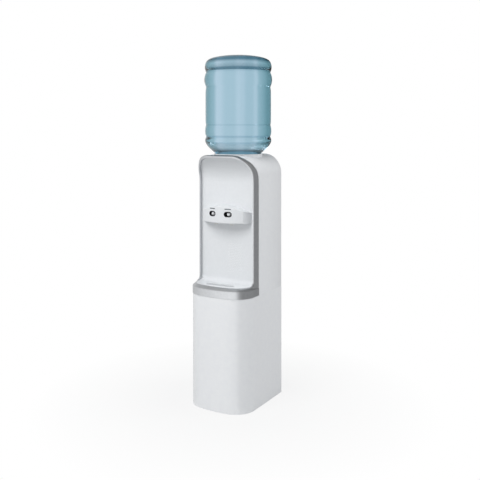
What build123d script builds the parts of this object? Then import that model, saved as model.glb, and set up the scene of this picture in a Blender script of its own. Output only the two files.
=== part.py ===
"""Slim free-standing water cooler with the bottle upside down on top.

Millimetres. +Z is up, the front faces -Y and the right side is +X. The origin is on the floor,
under the middle of the overall box. A white wrap shell, a bowed lower front and a recessed
front panel make the cabinet, and a satin trim loop frames the dispensing alcove and the ledge.
"""
import os
from math import asin, atan2, cos, degrees, radians, sin, sqrt, tan

from build123d import *

# ---------------------------------------------------------------- driving dimensions
# Cabinet, seen from outside
cabinet_width = 264.0
cabinet_depth = 310.0  # rear face to the middle of the ledge's front
cabinet_height = 972.0
upper_depth = 190.0  # rear face to the seam between the shell and the trim
front_bow = 19.5  # how far the lower front bulges at its middle
front_corner = 81.0  # plan radius of the lower front corners
front_lap = 8.0  # how far the lower front runs straight past its corners
top_corner = 77.0  # radius of the shell's upper corners, seen from the front
hood_rise = 106.0  # height of the part of the upper front that leans forward
hood_radius = 109.0
hood_angle = 51.0  # lean of the hood from upright, at the top
shell_wall = 2.5
rear_sheet = 1.2
rear_flange = 12.0
well_setback = 122.5  # bottle axis ahead of the rear face

# Fits
seat_gap = 0.3  # between fitted pieces that do not touch
slide_gap = 0.5  # round pieces that lift out by hand
running_gap = 0.08  # radial, for shafts and stems

# Base
foot_height = 3.0
foot_radius = 13.0
foot_inset = 44.0
base_height = 10.0
base_inset = 1.0
base_floor = 2.5
base_rim = 6.0

# Satin trim
trim_depth = 27.0  # seam to front, on the upright bars
trim_face = 12.0  # width of the bars and the top member
trim_proud = 1.8  # how far the ledge band stands out of the lower front
trim_wall = 2.5
trim_edge = 6.0  # rounding of the loop's outer front edge
trim_sweep = 18.0  # radius where a bar turns forward into the ledge band
band_bottom = 433.0
band_height = 28.0
band_rise = 11.0  # height of the sloping top of the band
band_face = 13.0  # inset of the band's inner edge
band_seat = 6.0  # width of the inner lip that carries the drip tray
band_seat_thick = 3.0

# Recessed front panel
recess_depth = 13.0
panel_fillet = 18.0
deck_reach = 24.0  # how far the panel's foot reaches forward of its face
deck_drop = 1.0  # deck and grille below the trim's inner edge

# Tap housing
housing_reach = 60.0  # panel face to the middle of the bowed front
housing_bow = 176.0  # plan radius of the bowed front
housing_front_half = 91.0
housing_back_half = 110.0
housing_drop = 263.0  # cabinet top to the housing's foot
housing_height = 66.0
housing_shoulder_height = 39.0  # height at the housing's two ends
housing_edge = 4.0

# Taps
tap_spacing = 70.0
button_rise = 36.0  # above the housing's foot
bezel_width = 31.0
bezel_height = 20.0
bezel_lip = 1.2
bezel_proud = 1.0
bezel_floor = 2.0
dish_depth = 15.0
button_radius = 7.7
button_drop = 0.7  # button centre below the dish centre
button_length = 1.0  # straight part behind the ball nose
button_travel = 4.0
stem_radius = 2.5
valve_radius = 6.0
valve_length = 6.0
barrel_radius = 11.0
barrel_wall = 2.5
spout_radius = 7.5
spout_bore = 5.0
spout_drop = 8.0  # below the housing
spout_reach = 27.0  # spout axis ahead of the panel face
tail_radius = 7.0
barb_radius = 4.0
barb_drop = 22.0
nut_size = 22.0
nut_thick = 5.0
spring_wall = 1.5
lens_width = 26.0
lens_height = 4.0
lens_rise = 20.0  # lens centre above the button centre
lens_depth = 1.2
lens_proud = 0.4

# Drip tray and grille
tray_depth = 28.0
tray_wall = 2.0
tray_rim = 2.0
grille_thick = 3.0
slot_width = 4.0
slot_length = 26.0
slot_pitch = 8.0
slot_count = 15
slot_row = 50.0  # middle of the slots behind the ledge's front

# Bottle, standing on its neck
bottle_wall = 2.0
cone_radius = 88.0  # shoulder cone at the cabinet's top
cone_angle = 48.8
cone_end = 122.0  # where the cone turns into the shoulder
shoulder_radius = 134.1
body_radius = 132.0
groove_radius = 129.6
waist_radius = 134.0  # band above the shoulder
ring_radius = 137.3  # widest ring
crown_radius = 135.2
shoulder_rise = 70.0  # cabinet top to the groove above the shoulder bulge
waist_height = 48.0
body_height = 150.0
ring_height = 59.0
crown_height = 42.0
rim_height = 19.0
foot_height_up = 6.0  # rim to the ring that the bottle would stand on
rim_radius = 98.0
foot_ring = 56.0
punt_depth = 5.0  # hollow of the bottle's foot, now on top
groove_rise = 6.0  # height over which the body draws in to a groove
neck_radius = 27.0
neck_drop = 92.0  # cabinet top to the neck's end
cap_wall = 2.2
cap_height = 22.0

# Bottle seat and probe
seat_rim = 97.0
seat_lip = 4.0
seat_rise = 2.0
seat_wall = 2.5
well_radius = 36.0
lid_drop = 108.0  # cabinet top to the underside of the tank's lid
lid_thick = 3.0
passage_radius = 5.0
passage_circle = 24.0
passage_count = 6
probe_radius = 8.0
probe_height = 46.0
probe_flange = 14.0
probe_flange_thick = 3.0
probe_bore = 5.0

# Cold tank
gasket_thick = 2.0
tank_radius = 55.0
tank_height = 166.5
tank_wall = 1.2
tank_flange = 9.0
sleeve_thick = 2.5
sleeve_height = 90.0
sleeve_start = 18.0  # above the tank's bottom
foam_wall = 11.0
foam_floor = 12.0
shelf_thick = 1.5
shelf_flange = 14.0
shelf_setback = 32.0  # free space behind the shelves for pipes
baffle_rise = 80.0
baffle_hole = 6.0
stub_radius = 4.5
stub_drop = 11.0
stub_offset = 35.0

# Hot tank
shelf_pitch = 182.0  # lower shelf to upper shelf
hot_radius = 48.0
hot_height = 118.0
hot_dome = 14.0
hot_setback = 97.0  # hot tank axis ahead of the rear face
jacket_wall = 11.0
jacket_floor = 12.0
heater_height = 36.0
heater_rise = 20.0
heater_thick = 2.0
limiter_radius = 9.0
limiter_thick = 6.0

# Hoses and pipes
hose_radius = 4.5
hose_bend = 14.0
hose_bore = 3.0
hose_drop = 26.0  # tank stub to the cold hose's level run
hose_step = 13.0  # cold run to hot run
pipe_radius = 3.0
pipe_bend = 14.0
capillary_radius = 1.5
pipe_setback = 24.0  # upright pipes ahead of the rear sheet
suction_x = 85.0
capillary_x = 76.0
pipe_inset = 10.0  # where the pipes meet the evaporator, from its ends

# Compressor
pot_radius = 62.0
pot_height = 150.0
pot_edge = 22.0
pot_seam = 4.0
pot_setback = 96.0
grommet_height = 14.0
grommet_radius = 9.0
leg_thick = 3.0
leg_x = 76.0
leg_y = 46.0
leg_corner = 12.0
bolt_radius = 3.0
bolt_head = 11.0
bolt_head_height = 4.0
relay_width = 40.0
relay_height = 54.0
relay_depth = 22.0
stub_side = 30.0  # pipe stubs either side of the pot's middle
stub_rise = 10.0
drier_radius = 9.0
drier_bottom = 190.0
drier_length = 82.0

# Condenser on the rear face
condenser_reach = 18.0  # rear face to the outermost wire
condenser_side = 100.0  # half width over the bends
lead_side = 106.0  # upright leads at the condenser's two ends
lead_bend = 10.0
condenser_share = 0.432  # its lowest pass, as a share of the cabinet height
pass_pitch = 44.0
pass_count = 9
tube_radius = 2.4
wire_size = 1.6
wire_count = 25
wire_pitch = 6.2
wire_overhang = 12.0
weld_gap = 0.05
clip_width = 5.0
clip_foot = 18.0
clip_thick = 2.0
clip_wall = 1.1
clip_gap = 0.4

# Rear services, with their heights as shares of the cabinet height
drain_share = 0.391
switch_share = 0.3086
knob_share = 0.2572
vent_share = 0.0988  # lowest vents
drain_radius = 6.0
drain_bore = 4.0
drain_flange = 12.0
drain_stick_out = 9.0
drain_inside = 12.0
drain_cap_radius = 9.0
drain_cap_length = 10.0
drain_cap_flat_count = 12
switch_pitch = 26.0
rocker_width = 12.0
rocker_radius = 10.0
rocker_sink = 5.0  # pivot below the rear face
rocker_swing = 8.0
switch_rim = 4.0
switch_rim_thick = 2.0
knob_radius = 11.0
knob_thick = 8.0
knob_shaft = 3.0
thermostat_size = 26.0
thermostat_depth = 18.0
inlet_height = 60.0
inlet_side = 80.0
inlet_width = 28.0
inlet_tall = 20.0
inlet_wall = 2.5
inlet_depth = 18.0
inlet_rim = 4.0
inlet_rim_thick = 2.0
pin_width = 2.0
pin_tall = 4.0
pin_pitch = 7.0
vent_length = 70.0
vent_width = 4.0
vent_pitch = 11.0
vent_count = 9
vent_side = 45.0  # middle of each column of vents
screw_head = 3.6
screw_head_height = 1.8
screw_shank = 1.6
screw_hole_gap = 0.2
screw_length = 8.0
screw_start = 46.0  # lowest pair of screws
screw_count = 4  # pairs down the sides
screw_margin = 12.0

# ---------------------------------------------------------------- derived places
overall_depth = trim_proud + cabinet_depth + condenser_reach
rear_y = overall_depth / 2 - condenser_reach
ledge_y = rear_y - cabinet_depth
seam_y = rear_y - upper_depth
ridge_y = seam_y - trim_depth
panel_y = ridge_y + recess_depth
panel_back = panel_y + shell_wall
half_width = cabinet_width / 2
bottle_y = rear_y - well_setback
rear_inner = rear_y - rear_sheet
side_inner = half_width - shell_wall

bow_radius = (half_width**2 + front_bow**2) / (2 * front_bow)
bow_centre = ledge_y + bow_radius
corner_x = half_width - front_corner
corner_y = bow_centre - sqrt((bow_radius - front_corner) ** 2 - corner_x**2)
corner_turn = degrees(atan2(corner_y - bow_centre, corner_x))
lap_y = corner_y + front_lap

band_shoulder = band_bottom + band_height
band_top = band_shoulder + band_rise
deck_top = band_top - deck_drop
seat_top = deck_top - grille_thick - tray_rim
tray_back = panel_y - deck_reach
hood_start = cabinet_height - hood_rise
hood_knee = hood_start + hood_radius * sin(radians(hood_angle))
condenser_bottom = condenser_share * cabinet_height
drain_height = drain_share * cabinet_height
switch_height = switch_share * cabinet_height
knob_height = knob_share * cabinet_height
vent_bottom = vent_share * cabinet_height


def hood_y(upright_y, height):
    """Depth of the hood's straight lean at a height above its knee."""
    knee_y = upright_y - hood_radius * (1 - cos(radians(hood_angle)))
    return knee_y - (height - hood_knee) * tan(radians(hood_angle))


def hood_lines(upright_y, foot, crown):
    """Side view of the hood: upright, bend and lean. Used inside BuildLine on Plane.YZ."""
    Line((upright_y, foot), (upright_y, hood_start))
    bend = CenterArc((upright_y - hood_radius, hood_start), hood_radius, 0, hood_angle)
    Line(bend @ 1, (hood_y(upright_y, crown), crown))


def arch(inset, foot, mode=Mode.ADD):
    """Front view of the cabinet: upright sides and two round upper corners."""
    side = half_width - inset
    crown = cabinet_height - inset
    radius = top_corner - inset
    with BuildLine() as outline:
        Line((-side, foot), (-side, crown - radius))
        CenterArc((radius - side, crown - radius), radius, 180, -90)
        Line((radius - side, crown), (side - radius, crown))
        CenterArc((side - radius, crown - radius), radius, 90, -90)
        Line((side, crown - radius), (side, foot))
        Line((side, foot), (-side, foot))
    make_face(outline.edges(), mode=mode)


def footprint(inset, back, mode=Mode.ADD):
    """Plan view of the lower cabinet: bowed front, large corners, cut off square at back."""
    side = half_width - inset
    radius = front_corner - inset
    start = -degrees(asin(max(corner_y - back, 0) / radius))
    with BuildLine() as outline:
        right = CenterArc((corner_x, corner_y), radius, start, corner_turn - start)
        CenterArc((0, bow_centre), bow_radius - inset, corner_turn, -180 - 2 * corner_turn)
        left = CenterArc((-corner_x, corner_y), radius, -180 - corner_turn, corner_turn - start)
        if back > corner_y:
            Polyline(left @ 1, (-side, back), (side, back), right @ 0)
        else:
            Line(left @ 1, right @ 0)
    make_face(outline.edges(), mode=mode)


def hose(points, radius, bend):
    """Run of hose or pipe: straight lengths joined by round bends."""
    with BuildPart() as run:
        with BuildLine():
            path = FilletPolyline(*points, radius=bend)
        with BuildSketch(Plane(origin=path @ 0, z_dir=path % 0)):
            Circle(radius)
        sweep(path=path)
    return run


# ---------------------------------------------------------------- base and feet
with BuildPart() as base_tray:
    with BuildSketch(Plane.XY.offset(foot_height)):
        footprint(base_inset, rear_y - base_inset)
    extrude(amount=base_height - foot_height)
    with BuildSketch(Plane.XY.offset(foot_height + base_floor)):
        footprint(base_inset + base_rim, rear_y - base_inset - base_rim)
    extrude(amount=base_height, mode=Mode.SUBTRACT)

foot_spots = [
    (side * (half_width - foot_inset), y)
    for side in (-1, 1)
    for y in (ledge_y + front_corner, rear_y - foot_inset)
]
with BuildPart() as feet:
    with BuildSketch():
        with Locations(*foot_spots):
            Circle(foot_radius)
    extrude(amount=foot_height)
    chamfer(feet.edges().group_by(Axis.Z)[0], length=foot_height / 4)

# ---------------------------------------------------------------- cabinet shells
screw_x = side_inner - rear_flange / 2
screw_top = cabinet_height - shell_wall - rear_flange / 2
screw_row = (cabinet_height - top_corner - screw_margin - screw_start) / (screw_count - 1)
screw_rows = [screw_start + i * screw_row for i in range(screw_count)]
screw_spots = [(side * screw_x, z) for side in (-1, 1) for z in screw_rows]
screw_spots += [(side * top_corner / 2, screw_top) for side in (-1, 1)]

with BuildPart() as cabinet_wrap:
    with BuildSketch(Plane.XZ):
        arch(0, base_height)
        arch(shell_wall, base_height - shell_wall, mode=Mode.SUBTRACT)
    extrude(amount=cabinet_depth, both=True)
    with BuildSketch(Plane.YZ):
        with BuildLine():
            hood_lines(seam_y, band_bottom, cabinet_height)
            Polyline(
                (hood_y(seam_y, cabinet_height), cabinet_height),
                (rear_y, cabinet_height),
                (rear_y, base_height),
                (lap_y, base_height),
                (lap_y, band_bottom),
                (seam_y, band_bottom),
            )
        make_face()
    extrude(amount=cabinet_width, both=True, mode=Mode.INTERSECT)
    with BuildSketch(Plane.XZ.offset(-rear_inner)):
        arch(shell_wall, base_height)
        arch(shell_wall + rear_flange, base_height - shell_wall, mode=Mode.SUBTRACT)
        with Locations(*screw_spots):
            Circle(screw_shank + screw_hole_gap, mode=Mode.SUBTRACT)
    extrude(amount=rear_sheet)
    with BuildSketch(Plane.XY.offset(cabinet_height)):
        with Locations((0, bottle_y)):
            Circle(seat_rim - seat_lip)
    extrude(amount=-top_corner / 2, mode=Mode.SUBTRACT)

with BuildPart() as lower_front:
    with BuildSketch(Plane.XY.offset(base_height)):
        footprint(0, lap_y)
        footprint(shell_wall, lap_y + shell_wall, mode=Mode.SUBTRACT)
    extrude(amount=band_bottom - base_height)

# ---------------------------------------------------------------- satin trim
def ridge_at(height):
    """Depth of the loop's front at a height."""
    if height < hood_start:
        return ridge_y
    if height < hood_knee:
        return ridge_y - hood_radius + sqrt(hood_radius**2 - (height - hood_start) ** 2)
    return hood_y(ridge_y, height)


def is_outer_front(edge):
    """True for the edges where the loop's outer side meets its front."""
    spot = edge @ 0.5
    across = max(abs(spot.X) - half_width + top_corner, 0)
    up = max(spot.Z - cabinet_height + top_corner, 0)
    on_side = abs(sqrt(across**2 + up**2) - top_corner) < seat_gap
    return on_side and abs(spot.Y - ridge_at(spot.Z)) < seat_gap


with BuildPart() as trim_frame:
    with BuildSketch(Plane.XZ):
        arch(0, band_bottom)
        arch(trim_face, band_bottom - shell_wall, mode=Mode.SUBTRACT)
    extrude(amount=cabinet_depth, both=True)
    with BuildSketch(Plane.YZ):
        with BuildLine():
            hood_lines(seam_y, band_bottom, cabinet_height)
            hood_lines(ridge_y, band_top + trim_sweep, cabinet_height)
            Line(
                (hood_y(seam_y, cabinet_height), cabinet_height),
                (hood_y(ridge_y, cabinet_height), cabinet_height),
            )
            turn = CenterArc((ridge_y - trim_sweep, band_top + trim_sweep), trim_sweep, 0, -90)
            Polyline(turn @ 1, (ridge_y - trim_sweep, band_bottom), (seam_y, band_bottom))
        make_face()
    extrude(amount=cabinet_width, both=True, mode=Mode.INTERSECT)
    fillet([edge for edge in trim_frame.edges() if is_outer_front(edge)], radius=trim_edge)
    # The ledge band: a proud skirt with a sloping top, hollow underneath.
    with BuildSketch(Plane.XY.offset(band_bottom)):
        footprint(-trim_proud, seam_y)
    extrude(amount=band_height)
    with BuildSketch(Plane.XY.offset(band_shoulder)):
        footprint(-trim_proud, seam_y)
    with BuildSketch(Plane.XY.offset(band_top)):
        footprint(band_face, seam_y)
    loft(ruled=True)
    with BuildSketch(Plane.XY.offset(band_bottom)):
        footprint(trim_wall - trim_proud, seam_y + trim_wall)
    extrude(amount=band_height - trim_wall, mode=Mode.SUBTRACT)
    with BuildSketch(Plane.XY.offset(band_bottom)):
        footprint(band_face + band_seat, seam_y + trim_wall)
    extrude(amount=cabinet_height - band_bottom - top_corner, mode=Mode.SUBTRACT)
    with BuildSketch(Plane.XY.offset(seat_top)):
        footprint(band_face, seam_y + trim_wall)
    extrude(amount=band_top - seat_top + trim_sweep, mode=Mode.SUBTRACT)
    with BuildSketch(Plane.XY.offset(band_bottom)):
        with Locations((0, tray_back)):
            Rectangle(
                2 * (half_width - trim_face),
                cabinet_depth,
                align=(Align.CENTER, Align.MIN),
            )
    extrude(amount=band_top + trim_sweep - band_bottom, mode=Mode.SUBTRACT)

# ---------------------------------------------------------------- recessed front panel
housing_bottom = cabinet_height - housing_drop
housing_crown = housing_bottom + housing_height
housing_shoulder = housing_bottom + housing_shoulder_height
button_height = housing_bottom + button_rise
tap_spots = [(side * tap_spacing / 2, button_height - button_drop) for side in (-1, 1)]

with BuildPart() as recess_panel:
    with BuildSketch(Plane.YZ):
        with BuildLine():
            crown = cabinet_height - trim_face - seat_gap
            bend_y = panel_y - panel_fillet
            bend_z = deck_top + panel_fillet
            hood_lines(panel_y, bend_z, crown)
            hood_lines(panel_back, bend_z, crown)
            Line((hood_y(panel_y, crown), crown), (hood_y(panel_back, crown), crown))
            CenterArc((bend_y, bend_z), panel_fillet, 0, -90)
            CenterArc((bend_y, bend_z), panel_fillet + shell_wall, 0, -90)
            Polyline(
                (bend_y, deck_top),
                (tray_back, deck_top),
                (tray_back, seat_top),
                (tray_back - band_seat, seat_top),
                (tray_back - band_seat, seat_top - band_seat_thick),
                (tray_back + shell_wall, seat_top - band_seat_thick),
                (tray_back + shell_wall, deck_top - shell_wall),
                (bend_y, deck_top - shell_wall),
            )
        make_face()
    extrude(amount=half_width, both=True)
    with BuildSketch(Plane.XZ):
        arch(trim_face + seat_gap, band_bottom)
    extrude(amount=cabinet_depth, both=True, mode=Mode.INTERSECT)
    with BuildSketch(Plane.XY.offset(band_bottom)):
        footprint(band_face + band_seat + seat_gap, rear_y)
        with Locations((0, tray_back)):
            Rectangle(cabinet_width, cabinet_depth, align=(Align.CENTER, Align.MIN))
    extrude(amount=cabinet_height, mode=Mode.INTERSECT)
    with BuildSketch(Plane.XZ.offset(-panel_y)):
        with Locations(*tap_spots):
            Circle(tail_radius + seat_gap)
    extrude(amount=-shell_wall, mode=Mode.SUBTRACT)

# ---------------------------------------------------------------- tap housing
front_y = panel_y - housing_reach
bow_y = front_y + housing_bow


def housing_plan(inset, mode=Mode.ADD):
    """Plan of the housing: bowed front, sides that open towards the panel."""
    front_x = housing_front_half - inset
    back_x = housing_back_half - inset
    turn = degrees(atan2(sqrt((housing_bow - inset) ** 2 - front_x**2), front_x))
    with BuildLine() as outline:
        bow = CenterArc((0, bow_y), housing_bow - inset, -180 + turn, 180 - 2 * turn)
        Polyline(bow @ 1, (back_x, panel_y), (-back_x, panel_y), bow @ 0)
    make_face(outline.edges(), mode=mode)


def housing_face(inset, foot, mode=Mode.ADD):
    """Front view of the housing: flat foot and an arched crown."""
    side = housing_back_half
    with BuildLine() as outline:
        ThreePointArc(
            (-side, housing_shoulder - inset),
            (0, housing_crown - inset),
            (side, housing_shoulder - inset),
        )
        Line((side, housing_shoulder - inset), (side, foot))
        Line((side, foot), (-side, foot))
        Line((-side, foot), (-side, housing_shoulder - inset))
    make_face(outline.edges(), mode=mode)


def bow_at(across):
    """Depth of the housing's bowed front at a distance from the middle."""
    return bow_y - sqrt(housing_bow**2 - across**2)


def ovals(spots, width, height):
    """Slots with round ends at the given spots of the current sketch."""
    with Locations(*spots):
        SlotOverall(width, height)


bezel_spots = [(x, button_height) for x, _ in tap_spots]
lens_spots = [(x, button_height + lens_rise) for x, _ in tap_spots]
tap_front = bow_at(tap_spacing / 2)
dish_y = tap_front + dish_depth
bezel_back = dish_y + bezel_floor

with BuildPart() as housing_cavity:
    with BuildSketch(Plane.XY.offset(housing_bottom - shell_wall)):
        housing_plan(shell_wall)
    extrude(amount=housing_crown)
    with BuildSketch(Plane.XZ):
        housing_face(shell_wall, housing_bottom - shell_wall)
    extrude(amount=cabinet_depth, both=True, mode=Mode.INTERSECT)

with BuildPart() as lens_ring:
    # Curved band that the lenses are cut from, just proud of the bowed front.
    with BuildSketch(Plane.XY.offset(housing_bottom)):
        with Locations((0, bow_y)):
            Circle(housing_bow + lens_proud)
            Circle(housing_bow - lens_depth, mode=Mode.SUBTRACT)
    extrude(amount=housing_crown - housing_bottom)

with BuildPart() as indicator_lenses:
    with BuildSketch(Plane.XZ.offset(-panel_y)):
        ovals(lens_spots, lens_width, lens_height)
    extrude(amount=2 * housing_reach)
    add(lens_ring.part, mode=Mode.INTERSECT)

with BuildPart() as tap_housing:
    with BuildSketch(Plane.XY.offset(housing_bottom)):
        housing_plan(0)
    extrude(amount=housing_crown)
    with BuildSketch(Plane.XZ):
        housing_face(0, housing_bottom)
    extrude(amount=cabinet_depth, both=True, mode=Mode.INTERSECT)
    front_rim = tap_housing.faces().sort_by(Axis.Y)[0].edges()
    fillet(front_rim, radius=housing_edge)
    add(housing_cavity.part, mode=Mode.SUBTRACT)
    add(indicator_lenses.part, mode=Mode.SUBTRACT)
    with BuildSketch(Plane.XZ.offset(-bow_y)):
        ovals(bezel_spots, bezel_width + 2 * seat_gap, bezel_height + 2 * seat_gap)
    extrude(amount=2 * housing_bow, mode=Mode.SUBTRACT)

spout_y = panel_y - spout_reach
spout_spots = [(x, spout_y) for x, _ in tap_spots]
with BuildPart() as housing_floor:
    with BuildSketch(Plane.XY.offset(housing_bottom)):
        housing_plan(shell_wall + seat_gap)
        with Locations(*spout_spots):
            Circle(spout_radius + seat_gap, mode=Mode.SUBTRACT)
    extrude(amount=shell_wall)

# ---------------------------------------------------------------- taps and buttons
barb_y = panel_back + nut_thick + seat_gap + barb_radius
tail_end = barb_y + barb_radius
valve_y = bezel_back + seat_gap
cap_back = dish_y - button_travel - seat_gap

with BuildPart() as button_bezels:
    with BuildSketch(Plane.XZ.offset(-bezel_back)):
        ovals(bezel_spots, bezel_width, bezel_height)
    extrude(amount=2 * housing_bow)
    with BuildSketch(Plane.XY.offset(housing_bottom)):
        with Locations((0, bow_y)):
            Circle(housing_bow + bezel_proud)
    extrude(amount=housing_crown, mode=Mode.INTERSECT)
    with BuildSketch(Plane.XZ.offset(-dish_y)):
        ovals(bezel_spots, bezel_width - 2 * bezel_lip, bezel_height - 2 * bezel_lip)
    extrude(amount=2 * housing_bow, mode=Mode.SUBTRACT)
    with BuildSketch(Plane.XZ.offset(-bezel_back)):
        with Locations(*tap_spots):
            Circle(stem_radius + running_gap)
    extrude(amount=bezel_floor, mode=Mode.SUBTRACT)


def button(x):
    """Ball-nosed button with its stem and the valve disc at the stem's end."""
    with BuildPart() as piece:
        with BuildSketch(Plane.XY.offset(tap_spots[0][1])):
            with BuildLine():
                nose_y = cap_back - button_length
                Polyline(
                    (x, valve_y + valve_length),
                    (x + valve_radius, valve_y + valve_length),
                    (x + valve_radius, valve_y),
                    (x + stem_radius, valve_y),
                    (x + stem_radius, cap_back),
                    (x + button_radius, cap_back),
                    (x + button_radius, nose_y),
                )
                nose = CenterArc((x, nose_y), button_radius, 0, -90)
                Line(nose @ 1, (x, valve_y + valve_length))
            make_face()
        revolve(axis=Axis((x, 0, tap_spots[0][1]), (0, 1, 0)))
    return piece


def tap_body(x):
    """Barrel with its valve chamber, spout, threaded tail and hose barb."""
    height = tap_spots[0][1]
    with BuildPart() as piece:
        with BuildSketch(Plane.XZ.offset(-bezel_back)):
            with Locations((x, height)):
                Circle(barrel_radius)
        extrude(amount=bezel_back - panel_y)
        with BuildSketch(Plane.XZ.offset(-panel_y)):
            with Locations((x, height)):
                Circle(tail_radius)
        extrude(amount=panel_y - tail_end)
        with BuildSketch(Plane.XY.offset(housing_bottom - spout_drop)):
            with Locations((x, spout_y)):
                Circle(spout_radius)
        extrude(amount=height - housing_bottom + spout_drop)
        with BuildSketch(Plane.XY.offset(height - barb_drop)):
            with Locations((x, barb_y)):
                Circle(barb_radius)
        extrude(amount=barb_drop)
        with BuildSketch(Plane.XZ.offset(-bezel_back)):
            with Locations((x, height)):
                Circle(barrel_radius - barrel_wall)
        extrude(amount=bezel_back - panel_y + barrel_wall, mode=Mode.SUBTRACT)
        with BuildSketch(Plane.XZ.offset(barrel_wall - panel_y)):
            with Locations((x, height)):
                Circle(hose_bore)
        extrude(amount=panel_y - barb_y - barrel_wall, mode=Mode.SUBTRACT)
        with BuildSketch(Plane.XY.offset(housing_bottom - spout_drop)):
            with Locations((x, spout_y)):
                Circle(spout_bore)
        extrude(amount=height - housing_bottom + spout_drop, mode=Mode.SUBTRACT)
        with BuildSketch(Plane.XY.offset(height - barb_drop)):
            with Locations((x, barb_y)):
                Circle(hose_bore)
        extrude(amount=barb_drop, mode=Mode.SUBTRACT)
    return piece


cold_x, hot_x = [x for x, _ in tap_spots]
cold_button = button(cold_x)
hot_button = button(hot_x)
cold_tap_body = tap_body(cold_x)
hot_tap_body = tap_body(hot_x)

# The space that each coil spring takes behind its valve disc.
spring_y = valve_y + valve_length
with BuildPart() as valve_springs:
    with BuildSketch(Plane.XZ.offset(-spring_y)):
        with Locations(*tap_spots):
            Circle(valve_radius)
            Circle(valve_radius - spring_wall, mode=Mode.SUBTRACT)
    extrude(amount=spring_y - panel_y + barrel_wall)

with BuildPart() as tap_nuts:
    with BuildSketch(Plane.XZ.offset(-panel_back)):
        with Locations(*tap_spots):
            RegularPolygon(nut_size / 2, 6, major_radius=False)
            Circle(tail_radius + running_gap, mode=Mode.SUBTRACT)
    extrude(amount=-nut_thick)

# ---------------------------------------------------------------- drip tray and grille
well_inset = band_face + band_seat + seat_gap
well_back = tray_back - band_seat - seat_gap
rim_top = seat_top + tray_rim
tray_floor = rim_top - tray_depth

with BuildPart() as drip_tray:
    with BuildSketch(Plane.XY.offset(seat_top)):
        footprint(band_face + seat_gap, tray_back - seat_gap)
    extrude(amount=tray_rim)
    with BuildSketch(Plane.XY.offset(tray_floor)):
        footprint(well_inset, well_back)
    extrude(amount=seat_top - tray_floor)
    fillet(drip_tray.edges().group_by(Axis.Z)[0], radius=tray_wall)
    with BuildSketch(Plane.XY.offset(tray_floor + tray_wall)):
        footprint(well_inset + tray_wall, well_back - tray_wall)
    extrude(amount=tray_depth, mode=Mode.SUBTRACT)

with BuildPart() as drip_grille:
    with BuildSketch(Plane.XY.offset(rim_top)):
        footprint(band_face + seat_gap, tray_back - seat_gap)
    extrude(amount=grille_thick)
    lip_inset = well_inset + tray_wall + seat_gap
    lip_back = well_back - tray_wall - seat_gap
    with BuildSketch(Plane.XY.offset(seat_top)):
        footprint(lip_inset, lip_back)
        footprint(lip_inset + tray_wall, lip_back - tray_wall, mode=Mode.SUBTRACT)
    extrude(amount=tray_rim)
    with BuildSketch(Plane.XY.offset(rim_top)):
        with Locations((0, ledge_y + slot_row)):
            with GridLocations(slot_pitch, 0, slot_count, 1):
                SlotOverall(slot_length, slot_width, rotation=90)
    extrude(amount=grille_thick, mode=Mode.SUBTRACT)

# ---------------------------------------------------------------- bottle and its seat
shoulder_top = cabinet_height + shoulder_rise
waist_top = shoulder_top + waist_height
body_top = waist_top + body_height
ring_top = body_top + ring_height
crown_top = ring_top + crown_height
bottle_rim = crown_top + rim_height
bottle_top = bottle_rim + foot_height_up
neck_bottom = cabinet_height - neck_drop
cone_slope = tan(radians(cone_angle))
cone_step = 1 / cos(radians(cone_angle))


def cone_height(radius, inset=0):
    """Height where the bottle's cone, moved inwards by inset, has a radius."""
    return cabinet_height + (radius + inset * cone_step - cone_radius) / cone_slope


def bottle_face(inset, foot, mode=Mode.ADD):
    """Half section of the bottle about its axis, drawn in by inset."""
    neck = neck_radius - inset
    groove = groove_radius - inset
    body = body_radius - inset
    cone_top = cone_height(cone_end - inset, inset)
    shoulder_z = (cone_top + shoulder_top + groove_rise) / 2
    with BuildLine() as outline:
        Polyline((0, foot), (neck, foot), (neck, cone_height(neck, inset)), (cone_end - inset, cone_top))
        ThreePointArc(
            (cone_end - inset, cone_top), (shoulder_radius - inset, shoulder_z), (groove, shoulder_top)
        )
        ThreePointArc(
            (groove, shoulder_top),
            (waist_radius - inset, (shoulder_top + waist_top) / 2),
            (groove, waist_top),
        )
        Polyline(
            (groove, waist_top),
            (body, waist_top + groove_rise),
            (body, body_top - groove_rise),
            (groove, body_top),
        )
        ThreePointArc(
            (groove, body_top), (ring_radius - inset, (body_top + ring_top) / 2), (groove, ring_top)
        )
        ThreePointArc(
            (groove, ring_top), (crown_radius - inset, (ring_top + crown_top) / 2), (groove, crown_top)
        )
        ThreePointArc(
            (groove, crown_top),
            ((groove + rim_radius) / 2 + inset, (crown_top + bottle_rim) / 2 + groove_rise - inset),
            (rim_radius, bottle_rim - inset),
        )
        Polyline(
            (rim_radius, bottle_rim - inset),
            (foot_ring, bottle_top - inset),
            (foot_ring - punt_depth, bottle_top - punt_depth - inset),
            (0, bottle_top - punt_depth - inset),
            (0, foot),
        )
    make_face(outline.edges(), mode=mode)


bottle_axis = Axis((0, bottle_y, 0), (0, 0, 1))
bottle_plane = Plane(origin=(0, bottle_y, 0), x_dir=(1, 0, 0), z_dir=(0, -1, 0))
with BuildPart() as bottle:
    with BuildSketch(bottle_plane):
        bottle_face(0, neck_bottom)
        bottle_face(bottle_wall, neck_bottom, mode=Mode.SUBTRACT)
    revolve(axis=bottle_axis)

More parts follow.
